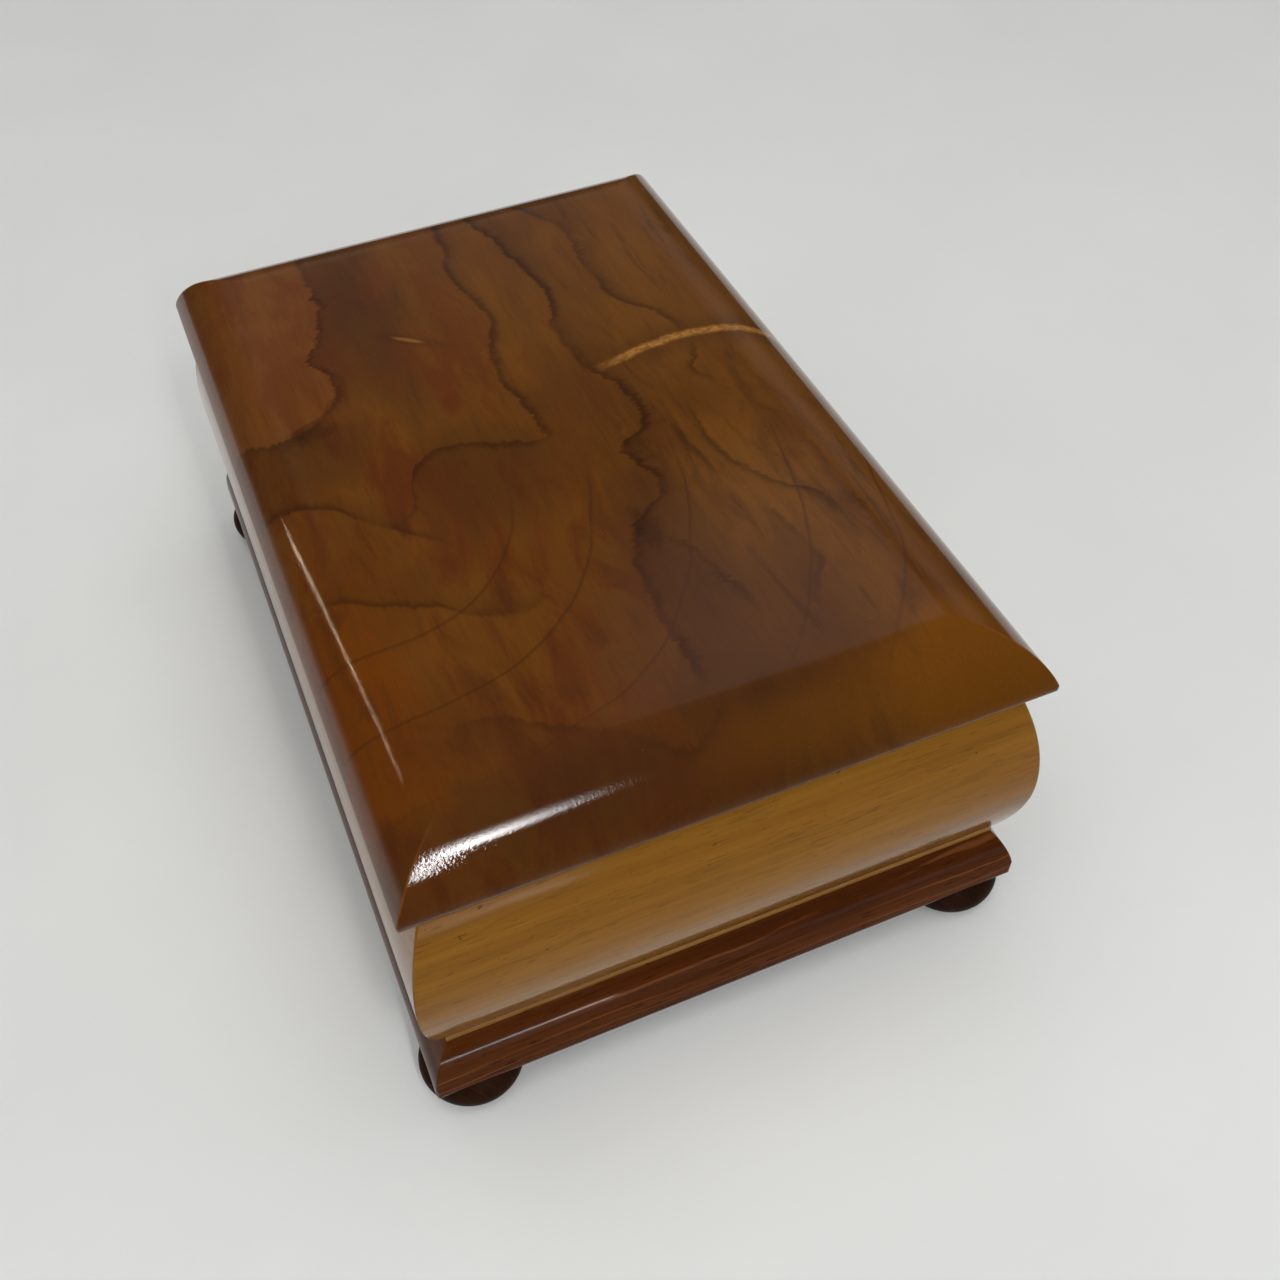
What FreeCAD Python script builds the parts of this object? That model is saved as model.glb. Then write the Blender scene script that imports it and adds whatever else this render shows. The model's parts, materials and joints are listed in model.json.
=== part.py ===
import FreeCAD, Part
import math
import os
import Sketcher

# Cylinder music box. Millimetres, Z up, origin on the floor under the middle of the box.
# The long front is at -Y, the lid hinges along +Y, and the movement's cylinder lies along X.

os.makedirs("parts", exist_ok=True)
doc = FreeCAD.newDocument("cylinder_music_box")
sheet = doc.addObject("Spreadsheet::Sheet", "Sizes")

driving = {
    # lid and case
    "lid_length": 300.0,
    "lid_width": 200.0,
    "lid_thickness": 20.5,
    "lid_nose": 2.2,
    "lid_edge_width": 26.0,
    "lid_corner_round": 1.4,
    "cut_margin": 1.0,
    "wall_height": 75.0,
    "wall_inner_inset": 18.0,
    "wall_bulge": 1.4,
    "wall_bulge_height": 30.0,
    "wall_foot_height": 2.6,
    "wall_upper_radius": 98.0,
    "wall_lower_radius": 60.0,
    "base_height": 21.5,
    "base_inner_inset": 32.0,
    "base_nose_out": 2.3,
    "base_nose_radius": 3.75,
    "base_face_radius": 30.0,
    "base_corner_round": 2.0,
    "base_top_inset": 4.9,
    "panel_thickness": 6.0,
    # feet
    "foot_height": 14.0,
    "foot_radius": 17.0,
    "foot_sole_radius": 10.0,
    "foot_neck_radius": 11.0,
    "foot_bulge_height": 7.5,
    "foot_inset": 12.5,
    "dowel_radius": 4.0,
    "dowel_length": 10.0,
    "dowel_end_gap": 0.5,
    # clearances
    "joinery_gap": 0.1,
    "running_gap": 0.06,
    "seat_gap": 0.02,
    # lid hinges
    "hinge_spacing": 180.0,
    "hinge_length": 40.0,
    "hinge_leaf": 1.2,
    "hinge_leaf_reach": 8.0,
    "hinge_knuckle_radius": 3.0,
    "hinge_pin_radius": 1.25,
    "hinge_setback": 5.7,
    "hinge_middle": 16.0,
    "hinge_split": 0.3,
    # inside of the case
    "partition_thickness": 6.0,
    "fan_room": 3.5,
    "ledge_size": 5.0,
    "glass_drop": 6.5,
    "glass_thickness": 3.0,
    "glass_notch": 9.0,
    "lining_thickness": 1.5,
    "lining_margin": 4.0,
    "felt_thickness": 2.0,
    # bedplate
    "bed_left": 8.0,
    "bed_right": 6.5,
    "bed_front": 16.0,
    "bed_back": 20.0,
    "bed_thickness": 4.0,
    "bed_corner": 8.0,
    "pillar_height": 6.0,
    "pillar_radius": 4.0,
    "pillar_inset": 12.0,
    "bed_screw_radius": 1.5,
    "bed_screw_head": 3.2,
    "bed_screw_head_height": 2.0,
    # spring barrel
    "barrel_room": 13.0,
    "barrel_radius": 25.0,
    "barrel_wall": 1.5,
    "barrel_height": 20.0,
    "barrel_lift": 0.8,
    "great_wheel_thickness": 2.8,
    "great_wheel_teeth": 60.0,
    "great_wheel_face": 2.4,
    "drive_module": 0.8,
    "tooth_addendum": 0.8,
    "tooth_dedendum": 1.15,
    "contrate_gap_root": 0.22,
    "contrate_gap_mouth": 0.40,
    "arbor_radius": 3.5,
    "arbor_hub_radius": 6.0,
    "arbor_top_radius": 2.5,
    "arbor_thread_radius": 2.5,
    "spring_thickness": 0.9,
    "spring_turns": 5.0,
    "bridge_width": 12.0,
    "bridge_thickness": 3.0,
    "bridge_leg": 5.0,
    "bridge_gap": 3.0,
    "bridge_foot": 9.0,
    # winding gear
    "ratchet_radius": 11.0,
    "ratchet_depth": 2.0,
    "ratchet_teeth": 12.0,
    "ratchet_thickness": 2.4,
    "ratchet_gap": 0.4,
    "click_length": 15.0,
    "click_width": 4.0,
    "click_thickness": 2.0,
    "click_pivot_radius": 1.5,
    "click_head_share": 1.7,
    "bush_radius": 7.0,
    "bush_flange": 9.5,
    "bush_flange_thickness": 1.2,
    "key_hub_radius": 4.5,
    "key_hub_length": 13.0,
    "key_bow_width": 30.0,
    "key_bow_height": 14.0,
    "key_bow_thickness": 2.6,
    # pinned cylinder
    "cylinder_axis_y": 10.0,
    "cylinder_radius": 14.0,
    "cylinder_wall": 1.4,
    "cylinder_length": 88.0,
    "cylinder_offset": 16.0,
    "cylinder_collar": 2.5,
    "collar_share": 1.6,
    "pin_length": 0.9,
    "pin_root": 0.6,
    "pin_width": 0.45,
    "cylinder_arbor_radius": 2.5,
    "cylinder_pivot_radius": 2.0,
    "pivot_end": 1.0,
    "drive_pinion_teeth": 15.0,
    "drive_pinion_length": 4.0,
    "bearing_width": 16.0,
    "bearing_thickness": 6.0,
    "bearing_foot": 7.0,
    "bearing_foot_height": 4.0,
    "bearing_gap": 3.0,
    # comb
    "comb_teeth": 72.0,
    "comb_pitch": 1.15,
    "comb_slot": 0.32,
    "comb_tooth_length": 30.0,
    "comb_slant": 8.0,
    "comb_tooth_thickness": 1.0,
    "comb_thickness": 3.0,
    "comb_body": 15.0,
    "comb_pin_gap": 0.2,
    "comb_base_foot": 5.0,
    "comb_base_web": 9.0,
    "comb_screw_count": 5.0,
    # governor
    "governor_module": 0.6,
    "cylinder_wheel_teeth": 60.0,
    "cylinder_wheel_thickness": 3.0,
    "governor_pinion_teeth": 10.0,
    "governor_pinion_length": 4.0,
    "governor_drop_angle": 45.0,
    "governor_arbor_radius": 1.5,
    "worm_wheel_teeth": 30.0,
    "worm_wheel_thickness": 1.6,
    "worm_radius": 3.0,
    "worm_turns": 5.0,
    "worm_arbor_radius": 1.3,
    "frame_cheek": 3.0,
    "frame_inner_width": 10.0,
    "frame_plate": 3.0,
    "frame_depth": 26.0,
    "frame_overhang": 5.0,
    "frame_headroom": 1.5,
    "arbor_end": 0.5,
    "thread_sink": 0.15,
    "thread_foot_share": 0.2,
    "thread_edge_share": 0.09,
    "fan_lift": 2.0,
    "fan_radius": 12.0,
    "fan_height": 12.0,
    "fan_blade": 0.8,
    "fan_hub_radius": 3.0,
    "fan_disc_radius": 6.0,
    "fan_disc_thickness": 1.0,
    # stop lever
    "stop_lever_length": 26.0,
    "stop_lever_width": 5.0,
    "stop_lever_thickness": 1.6,
    "stop_lever_swing": 20.0,
    "stop_gap": 0.3,
    "stop_post_radius": 3.5,
    "stop_post_distance": 18.5,
    # small screws
    "screw_radius": 1.2,
    "screw_head": 2.4,
    "screw_head_height": 1.6,
    "screw_depth": 3.0,
    "screw_slot": 0.8,
    "screw_slot_depth": 0.6,
}


class Size:
    # A length together with the sheet formula that gives it.

    def __init__(self, value, text):
        self.value = float(value)
        self.text = text

    def __add__(self, other):
        other = as_size(other)
        return Size(self.value + other.value, f"({self.text} + {other.text})")

    def __radd__(self, other):
        return as_size(other) + self

    def __sub__(self, other):
        other = as_size(other)
        return Size(self.value - other.value, f"({self.text} - {other.text})")

    def __rsub__(self, other):
        return as_size(other) - self

    def __mul__(self, other):
        other = as_size(other)
        return Size(self.value * other.value, f"({self.text} * {other.text})")

    def __rmul__(self, other):
        return as_size(other) * self

    def __truediv__(self, other):
        other = as_size(other)
        return Size(self.value / other.value, f"({self.text} / {other.text})")

    def __neg__(self):
        return Size(-self.value, f"(0 - {self.text})")


def as_size(number):
    if isinstance(number, Size):
        return number
    return Size(number, f"({number:.9g})")


def root(size):
    return Size(math.sqrt(size.value), f"sqrt({size.text})")


def whole(size):
    return Size(math.floor(size.value), f"floor({size.text})")


def cosine(angle):
    return Size(math.cos(math.radians(angle.value)), f"cos({angle.text})")


def sine(angle):
    return Size(math.sin(math.radians(angle.value)), f"sin({angle.text})")


class Sizes:
    pass


d = Sizes()
for row, (name, number) in enumerate(driving.items(), start=1):
    sheet.set(f"A{row}", name)
    sheet.set(f"B{row}", f"{number:g}")
    sheet.setAlias(f"B{row}", name)
    setattr(d, name, Size(number, f"Sizes.{name}"))
doc.recompute()

parts = []


def bind(obj, path, size):
    size = as_size(size)
    if "Sizes." in size.text:
        obj.setExpression(path, size.text)


def place(obj, x=0.0, y=0.0, z=0.0, rotation=None):
    where = [as_size(v) for v in (x, y, z)]
    turn = rotation or FreeCAD.Rotation()
    obj.Placement = FreeCAD.Placement(FreeCAD.Vector(*[v.value for v in where]), turn)
    for axis, v in zip("xyz", where):
        bind(obj, f"Placement.Base.{axis}", v)


def about(axis, degrees):
    return FreeCAD.Rotation(FreeCAD.Vector(*axis), degrees)


along_x = about((0, 1, 0), 90)


def keep(obj, label):
    obj.Label = label
    parts.append(obj)
    return obj


def new_body(label):
    return keep(doc.addObject("PartDesign::Body", label), label)


def add_outline(sketch, corners):
    # Corners are (x, y), or (x, y, radius, turn) where an arc arrives there, turn 1 being leftward.
    count = len(corners)
    points = [(as_size(c[0]), as_size(c[1])) for c in corners]
    flat = [FreeCAD.Vector(x.value, y.value, 0) for x, y in points]
    first = sketch.GeometryCount
    ends = []
    rules = []
    bound = []
    for i in range(count):
        j = (i + 1) % count
        begin, end = flat[i], flat[j]
        if len(corners[j]) == 2:
            sketch.addGeometry(Part.LineSegment(begin, end), False)
            ends.append((1, 2))
            continue
        radius, turn = as_size(corners[j][2]), corners[j][3]
        chord = end - begin
        rise = math.sqrt(max(radius.value ** 2 - chord.Length ** 2 / 4, 0.0))
        side = FreeCAD.Vector(-chord.y, chord.x, 0).normalize() * turn
        centre = (begin + end) * 0.5 + side * rise
        angles = [math.atan2(p.y - centre.y, p.x - centre.x) for p in (begin, end)]
        if turn < 0:
            angles.reverse()
        circle = Part.Circle(centre, FreeCAD.Vector(0, 0, 1), radius.value)
        sketch.addGeometry(Part.ArcOfCircle(circle, angles[0], angles[1]), False)
        ends.append((1, 2) if turn > 0 else (2, 1))
        rules.append(Sketcher.Constraint("Radius", first + i, radius.value))
        bound.append(radius)
    for i in range(count):
        j = (i + 1) % count
        for kind, size in (("DistanceX", points[i][0]), ("DistanceY", points[i][1])):
            rules.append(Sketcher.Constraint(kind, -1, 1, first + i, ends[i][0], size.value))
            bound.append(size)
        rules.append(Sketcher.Constraint("Coincident", first + i, ends[i][1], first + j, ends[j][0]))
        bound.append(None)
    start = sketch.ConstraintCount
    sketch.addConstraint(rules)
    for i, size in enumerate(bound):
        if size is not None:
            bind(sketch, f"Constraints[{start + i}]", size)


def add_circle(sketch, x, y, radius):
    x, y, radius = as_size(x), as_size(y), as_size(radius)
    at = FreeCAD.Vector(x.value, y.value, 0)
    index = sketch.GeometryCount
    sketch.addGeometry(Part.Circle(at, FreeCAD.Vector(0, 0, 1), radius.value), False)
    start = sketch.ConstraintCount
    sketch.addConstraint([
        Sketcher.Constraint("Radius", index, radius.value),
        Sketcher.Constraint("DistanceX", -1, 1, index, 3, x.value),
        Sketcher.Constraint("DistanceY", -1, 1, index, 3, y.value),
    ])
    for i, size in enumerate((radius, x, y)):
        bind(sketch, f"Constraints[{start + i}]", size)


def sketch_on(body, plane, outlines=(), circles=(), offset=0.0):
    sketch = body.newObject("Sketcher::SketchObject", "outline")
    support = [f for f in body.Origin.OriginFeatures if f.Role == plane][0]
    sketch.AttachmentSupport = [(support, "")]
    sketch.MapMode = "FlatFace"
    offset = as_size(offset)
    sketch.AttachmentOffset = FreeCAD.Placement(FreeCAD.Vector(0, 0, offset.value), FreeCAD.Rotation())
    bind(sketch, "AttachmentOffset.Base.z", offset)
    for corners in outlines:
        add_outline(sketch, corners)
    for circle in circles:
        add_circle(sketch, *circle)
    return sketch


def pad(body, sketch, length, both=False, back=False):
    feature = body.newObject("PartDesign::Pad", "pad")
    feature.Profile = sketch
    feature.Length = as_size(length).value
    bind(feature, "Length", length)
    feature.SideType = "Symmetric" if both else "One side"
    feature.Reversed = back
    doc.recompute()
    return feature


def pocket(body, sketch, length=None, both=False, back=False):
    before = body.Shape.Volume
    feature = body.newObject("PartDesign::Pocket", "pocket")
    feature.Profile = sketch
    if length is None:
        feature.Type = "ThroughAll"
    else:
        feature.Length = as_size(length).value
        bind(feature, "Length", length)
    feature.SideType = "Symmetric" if both else "One side"
    feature.Reversed = back
    doc.recompute()
    if not body.Shape.Volume < before:
        raise RuntimeError(f"a pocket in {body.Label} cuts nothing")
    return feature


def revolve(body, sketch, axis="V_Axis"):
    feature = body.newObject("PartDesign::Revolution", "revolution")
    feature.Profile = sketch
    feature.ReferenceAxis = (sketch, [axis])
    feature.Angle = 360.0
    doc.recompute()
    return feature


def round_pattern(body, feature, count):
    pattern = body.newObject("PartDesign::PolarPattern", "ring")
    pattern.Originals = [feature]
    axis = [f for f in body.Origin.OriginFeatures if f.Role == "Z_Axis"][0]
    pattern.Axis = (axis, [""])
    pattern.Angle = 360.0
    pattern.Occurrences = int(count.value)
    bind(pattern, "Occurrences", count)
    body.Tip = pattern
    doc.recompute()
    return pattern


def rectangle(x0, y0, x1, y1):
    return [(x0, y0), (x1, y0), (x1, y1), (x0, y1)]


def box(x0, y0, z0, x1, y1, z1):
    solid = doc.addObject("Part::Box", "block")
    for path, low, high in (("Length", x0, x1), ("Width", y0, y1), ("Height", z0, z1)):
        size = as_size(high) - low
        setattr(solid, path, size.value)
        bind(solid, path, size)
    place(solid, x0, y0, z0)
    return solid


def rod(x, y, z, radius, length, rotation=None):
    solid = doc.addObject("Part::Cylinder", "rod")
    for path, size in (("Radius", as_size(radius)), ("Height", as_size(length))):
        setattr(solid, path, size.value)
        bind(solid, path, size)
    place(solid, x, y, z, rotation)
    return solid


def fuse(*solids):
    joined = doc.addObject("Part::MultiFuse", "joined")
    joined.Shapes = list(solids)
    joined.Refine = True
    return joined


def cut(solid, *tools):
    tool = tools[0] if len(tools) == 1 else fuse(*tools)
    rest = doc.addObject("Part::Cut", "rest")
    rest.Base = solid
    rest.Tool = tool
    return rest


def group(label, solids):
    compound = doc.addObject("Part::Compound", label)
    compound.Links = solids
    return keep(compound, label)


def arc_radius(across, along):
    # An arc that leaves one end square to "across" and drops by "across" over "along".
    return (across * across + along * along) / (across * 2)


# Levels and half sizes of the case
half_x = d.lid_length / 2
half_y = d.lid_width / 2
base_top = d.foot_height + d.base_height
wall_top = base_top + d.wall_height
lid_top = wall_top + d.lid_thickness
room_x = half_x - d.wall_inner_inset
room_y = half_y - d.wall_inner_inset
floor_top = base_top + d.panel_thickness

sides = {
    "front": (0.0, -half_y, d.lid_length, 180),
    "back": (0.0, half_y, d.lid_length, 0),
    "left": (-half_x, 0.0, d.lid_width, 90),
    "right": (half_x, 0.0, d.lid_width, -90),
}


def eased_corner(x, y, radius, x_hand, y_hand):
    # The waste between a square outer corner at (x, y) and the arc that eases it.
    beyond_x = x + d.cut_margin * x_hand
    beyond_y = y + d.cut_margin * y_hand
    inner_x = x - radius * x_hand
    inner_y = y - radius * y_hand
    return [
        (beyond_x, inner_y),
        (x, inner_y),
        (inner_x, y, radius, x_hand * y_hand),
        (inner_x, beyond_y),
        (beyond_x, beyond_y),
    ]


def mitred_rail(label, side, section, outward, inward, easing=None):
    # A moulding along one side: local X runs along the rim, local Y points out of the box.
    x, y, run, turn = sides[side]
    body = new_body(label)
    pad(body, sketch_on(body, "YZ_Plane", [section]), run + outward * 2, both=True)
    end = run / 2
    reach_in = inward + d.cut_margin
    reach_out = outward + d.cut_margin
    corner = [(end - reach_in, -reach_in), (end + reach_out, -reach_in), (end + reach_out, reach_out)]
    mirrored = [(-px, py) for px, py in corner]
    pocket(body, sketch_on(body, "XY_Plane", [corner, mirrored]), both=True)
    if easing is not None:
        waste = [eased_corner((end + outward) * hand, outward, easing, hand, 1) for hand in (-1, 1)]
        pocket(body, sketch_on(body, "XY_Plane", waste), both=True)
    place(body, x, y, 0.0, about((0, 0, 1), turn))
    return body


# Bombe walls: two arcs that meet upright at the bulge, over a narrow upright foot
bulge_z = base_top + d.wall_bulge_height
upper_rise = d.wall_height - d.wall_bulge_height
upper_fall = d.wall_upper_radius - root(d.wall_upper_radius * d.wall_upper_radius - upper_rise * upper_rise)
lower_drop = d.wall_bulge_height - d.wall_foot_height
lower_fall = d.wall_lower_radius - root(d.wall_lower_radius * d.wall_lower_radius - lower_drop * lower_drop)
wall_foot = d.wall_bulge - lower_fall
wall_rim = d.wall_bulge - upper_fall
wall_section = [
    (-d.wall_inner_inset, base_top),
    (wall_foot, base_top),
    (wall_foot, base_top + d.wall_foot_height),
    (d.wall_bulge, bulge_z, d.wall_lower_radius, 1),
    (wall_rim, wall_top, d.wall_upper_radius, 1),
    (-d.wall_inner_inset, wall_top),
]
hinge_axis_y = half_y - d.hinge_setback
hinge_leaf_end = half_y + wall_rim - d.hinge_leaf_reach
for side in sides:
    wall = mitred_rail(f"wall_{side}", side, wall_section, d.wall_bulge, d.wall_inner_inset)
    if side != "back":
        continue
    half_bed = d.hinge_length / 2 + d.joinery_gap
    beds = []
    for hand in (-1, 1):
        middle = d.hinge_spacing / 2 * hand
        front = hinge_leaf_end - half_y - d.joinery_gap
        beds.append(rectangle(middle - half_bed, front, middle + half_bed, d.wall_bulge))
    pocket(wall, sketch_on(wall, "XY_Plane", beds, offset=wall_top), d.hinge_leaf)

# Base mouldings: a sloping, slightly rounded face that runs tangent into a round nose
nose_y = d.base_nose_out - d.base_nose_radius
nose_z = d.foot_height + d.base_nose_radius
slope_y = -d.base_top_inset - nose_y
slope_z = base_top - nose_z
slope_length = root(slope_y * slope_y + slope_z * slope_z)
centre_gap = d.base_face_radius - d.base_nose_radius
centre_along = (slope_length * slope_length + centre_gap * centre_gap
                - d.base_face_radius * d.base_face_radius) / (slope_length * 2)
centre_in = root(centre_gap * centre_gap - centre_along * centre_along)
tangent_share = d.base_nose_radius / (centre_gap * slope_length)
tangent_y = nose_y + (centre_in * slope_z - centre_along * slope_y) * tangent_share
tangent_z = nose_z - (centre_in * slope_y + centre_along * slope_z) * tangent_share
base_section = [
    (-d.base_inner_inset, d.foot_height),
    (nose_y, d.foot_height),
    (tangent_y, tangent_z, d.base_nose_radius, 1),
    (-d.base_top_inset, base_top, d.base_face_radius, 1),
    (-d.base_inner_inset, base_top),
]
dowel_hole = d.dowel_radius + d.running_gap
dowel_depth = d.dowel_length + d.dowel_end_gap
for side in sides:
    rail = mitred_rail(f"base_{side}", side, base_section, d.base_nose_out, d.base_inner_inset,
                       d.base_corner_round)
    reach = sides[side][2] / 2 - d.foot_inset
    holes = [(reach * hand, -d.foot_inset, dowel_hole) for hand in (-1, 1)]
    pocket(rail, sketch_on(rail, "XY_Plane", circles=holes, offset=d.foot_height), dowel_depth, back=True)

# Bun feet with a turned dowel
foot_low = arc_radius(d.foot_radius - d.foot_sole_radius, d.foot_bulge_height)
foot_high = arc_radius(d.foot_radius - d.foot_neck_radius, d.foot_height - d.foot_bulge_height)
foot_section = [
    (0.0, 0.0),
    (d.foot_sole_radius, 0.0),
    (d.foot_radius, d.foot_bulge_height, foot_low, 1),
    (d.foot_neck_radius, d.foot_height, foot_high, 1),
    (d.dowel_radius, d.foot_height),
    (d.dowel_radius, d.foot_height + d.dowel_length),
    (0.0, d.foot_height + d.dowel_length),
]
for depth, y_hand in (("front", -1), ("back", 1)):
    for across, x_hand in (("left", -1), ("right", 1)):
        foot = new_body(f"foot_{depth}_{across}")
        revolve(foot, sketch_on(foot, "XZ_Plane", [foot_section]))
        place(foot, (half_x - d.foot_inset) * x_hand, (half_y - d.foot_inset) * y_hand, 0.0)

# Lid: a pillow edge of one arc all round, so that hips run in from the corners
edge_rise = d.lid_thickness - d.lid_nose
crown_radius = (d.lid_edge_width * d.lid_edge_width + edge_rise * edge_rise) / (edge_rise * 2)
lid_nose_z = wall_top + d.lid_nose
lid_body = new_body("lid")
lid_section = [
    (d.lid_nose - half_x, wall_top, d.lid_nose, 1),
    (half_x - d.lid_nose, wall_top),
    (half_x, lid_nose_z, d.lid_nose, 1),
    (half_x - d.lid_edge_width, lid_top, crown_radius, 1),
    (d.lid_edge_width - half_x, lid_top),
    (-half_x, lid_nose_z, crown_radius, 1),
]
pad(lid_body, sketch_on(lid_body, "XZ_Plane", [lid_section]), d.lid_width, both=True)
lid_offcuts = []
for hand in (-1, 1):
    lid_offcuts.append([
        ((half_y - d.lid_nose) * hand, wall_top - d.cut_margin),
        ((half_y - d.lid_nose) * hand, wall_top),
        (half_y * hand, lid_nose_z, d.lid_nose, hand),
        ((half_y - d.lid_edge_width) * hand, lid_top, crown_radius, hand),
        ((half_y - d.lid_edge_width) * hand, lid_top + d.cut_margin),
        ((half_y + d.cut_margin) * hand, lid_top + d.cut_margin),
        ((half_y + d.cut_margin) * hand, wall_top - d.cut_margin),
    ])
pocket(lid_body, sketch_on(lid_body, "YZ_Plane", lid_offcuts), both=True)
lid_corners = [eased_corner(half_x * x_hand, half_y * y_hand, d.lid_corner_round, x_hand, y_hand)
               for x_hand in (-1, 1) for y_hand in (-1, 1)]
pocket(lid_body, sketch_on(lid_body, "XY_Plane", lid_corners), both=True)
lining_x = room_x - d.lining_margin
lining_y = room_y - d.lining_margin
recess = rectangle(-lining_x, -lining_y, lining_x, lining_y)
pocket(lid_body, sketch_on(lid_body, "XY_Plane", [recess], offset=wall_top), d.lining_thickness, back=True)
half_bed = d.hinge_length / 2 + d.joinery_gap
for hand in (-1, 1):
    middle = d.hinge_spacing / 2 * hand
    bed = rectangle(middle - half_bed, hinge_leaf_end - d.joinery_gap, middle + half_bed, hinge_axis_y)
    pocket(lid_body, sketch_on(lid_body, "XY_Plane", [bed], offset=wall_top), d.hinge_leaf, back=True)
    trough = (hinge_axis_y, wall_top, d.hinge_knuckle_radius + d.hinge_split)
    trough_sketch = sketch_on(lid_body, "YZ_Plane", circles=[trough], offset=middle)
    pocket(lid_body, trough_sketch, half_bed * 2, both=True)

lining = box(-lining_x + d.joinery_gap, -lining_y + d.joinery_gap, wall_top,
             lining_x - d.joinery_gap, lining_y - d.joinery_gap, wall_top + d.lining_thickness)
keep(lining, "lid_lining")

# Lid hinges: the case leaf carries the outer knuckles, the lid leaf the middle one
case_leaves, lid_leaves, hinge_pins = [], [], []
knuckle_gap = d.hinge_split / 2
outer_length = (d.hinge_length - d.hinge_middle) / 2 - knuckle_gap
for hand in (-1, 1):
    x0 = d.hinge_spacing / 2 * hand - d.hinge_length / 2
    x1 = x0 + d.hinge_length
    mid0 = x0 + (d.hinge_length - d.hinge_middle) / 2
    mid1 = mid0 + d.hinge_middle
    bore = rod(x0, hinge_axis_y, wall_top, d.hinge_pin_radius + d.running_gap, d.hinge_length, along_x)
    way = d.hinge_knuckle_radius + d.hinge_split
    low_leaf = box(x0, hinge_leaf_end, wall_top - d.hinge_leaf, x1, hinge_axis_y, wall_top)
    for_middle = rod(mid0 - knuckle_gap, hinge_axis_y, wall_top, way,
                     d.hinge_middle + d.hinge_split, along_x)
    low_ends = [rod(x, hinge_axis_y, wall_top, d.hinge_knuckle_radius, outer_length, along_x)
                for x in (x0, mid1 + knuckle_gap)]
    case_leaves.append(cut(fuse(cut(low_leaf, for_middle), *low_ends), bore))
    high_leaf = box(x0, hinge_leaf_end, wall_top, x1, hinge_axis_y, wall_top + d.hinge_leaf)
    for_ends = [rod(x, hinge_axis_y, wall_top, way, outer_length + knuckle_gap, along_x)
                for x in (x0, mid1)]
    high_middle = rod(mid0, hinge_axis_y, wall_top, d.hinge_knuckle_radius, d.hinge_middle, along_x)
    lid_leaves.append(cut(fuse(cut(high_leaf, *for_ends), high_middle), bore))
    hinge_pins.append(rod(x0, hinge_axis_y, wall_top, d.hinge_pin_radius, d.hinge_length, along_x))
group("hinge_case_leaves", case_leaves)
group("hinge_lid_leaves", lid_leaves)
group("hinge_pins", hinge_pins)

# Movement levels and axes
bed_bottom = floor_top + d.pillar_height
bed_top = bed_bottom + d.bed_thickness
barrel_bottom = bed_top + d.barrel_lift
wheel_bottom = barrel_bottom + d.barrel_height
great_radius = d.drive_module * d.great_wheel_teeth / 2
drive_pinion_radius = d.drive_module * d.drive_pinion_teeth / 2
wheel_teeth_root = wheel_bottom + d.great_wheel_thickness
wheel_teeth_top = wheel_teeth_root + d.drive_module * (d.tooth_addendum + d.tooth_dedendum)
axis_y = d.cylinder_axis_y
axis_z = wheel_teeth_top - d.drive_module * d.tooth_addendum + drive_pinion_radius
barrel_x = -room_x + d.barrel_room + d.barrel_radius
drive_x = barrel_x + great_radius
cylinder_start = drive_x + d.cylinder_offset
cylinder_end = cylinder_start + d.cylinder_length
cylinder_wheel_radius = d.governor_module * d.cylinder_wheel_teeth / 2
governor_pinion_radius = d.governor_module * d.governor_pinion_teeth / 2
worm_wheel_radius = d.governor_module * d.worm_wheel_teeth / 2
governor_reach = cylinder_wheel_radius + governor_pinion_radius
governor_y = axis_y + governor_reach * cosine(d.governor_drop_angle)
governor_z = axis_z - governor_reach * sine(d.governor_drop_angle)
cylinder_wheel_x = cylinder_end + d.cylinder_collar
right_bearing_x = cylinder_wheel_x + d.cylinder_wheel_thickness + d.bearing_gap
left_bearing_x = cylinder_start - d.bearing_gap - d.bearing_thickness
frame_x0 = right_bearing_x
frame_x1 = frame_x0 + d.frame_cheek * 2 + d.frame_inner_width
worm_x = (frame_x0 + frame_x1) / 2
worm_y = governor_y + worm_wheel_radius + d.worm_radius
partition_x = worm_x + d.fan_radius + d.fan_room

# Bottom panel on the base frame
panel_x = room_x - d.joinery_gap
panel_y = room_y - d.joinery_gap
bed_x0 = -room_x + d.bed_left
bed_x1 = partition_x - d.bed_right
bed_y0 = -room_y + d.bed_front
bed_y1 = room_y - d.bed_back
bed_corners = [(x, y) for x in (bed_x0 + d.pillar_inset, bed_x1 - d.pillar_inset)
               for y in (bed_y0 + d.pillar_inset, bed_y1 - d.pillar_inset)]
screw_hole = d.bed_screw_radius + d.running_gap
panel = new_body("bottom_panel")
panel_holes = [(x, y, screw_hole) for x, y in bed_corners]
panel_holes.append((barrel_x, axis_y, d.bush_radius + d.seat_gap))
panel_sketch = sketch_on(panel, "XY_Plane", [rectangle(-panel_x, -panel_y, panel_x, panel_y)],
                         panel_holes, base_top)
pad(panel, panel_sketch, d.panel_thickness)

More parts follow.
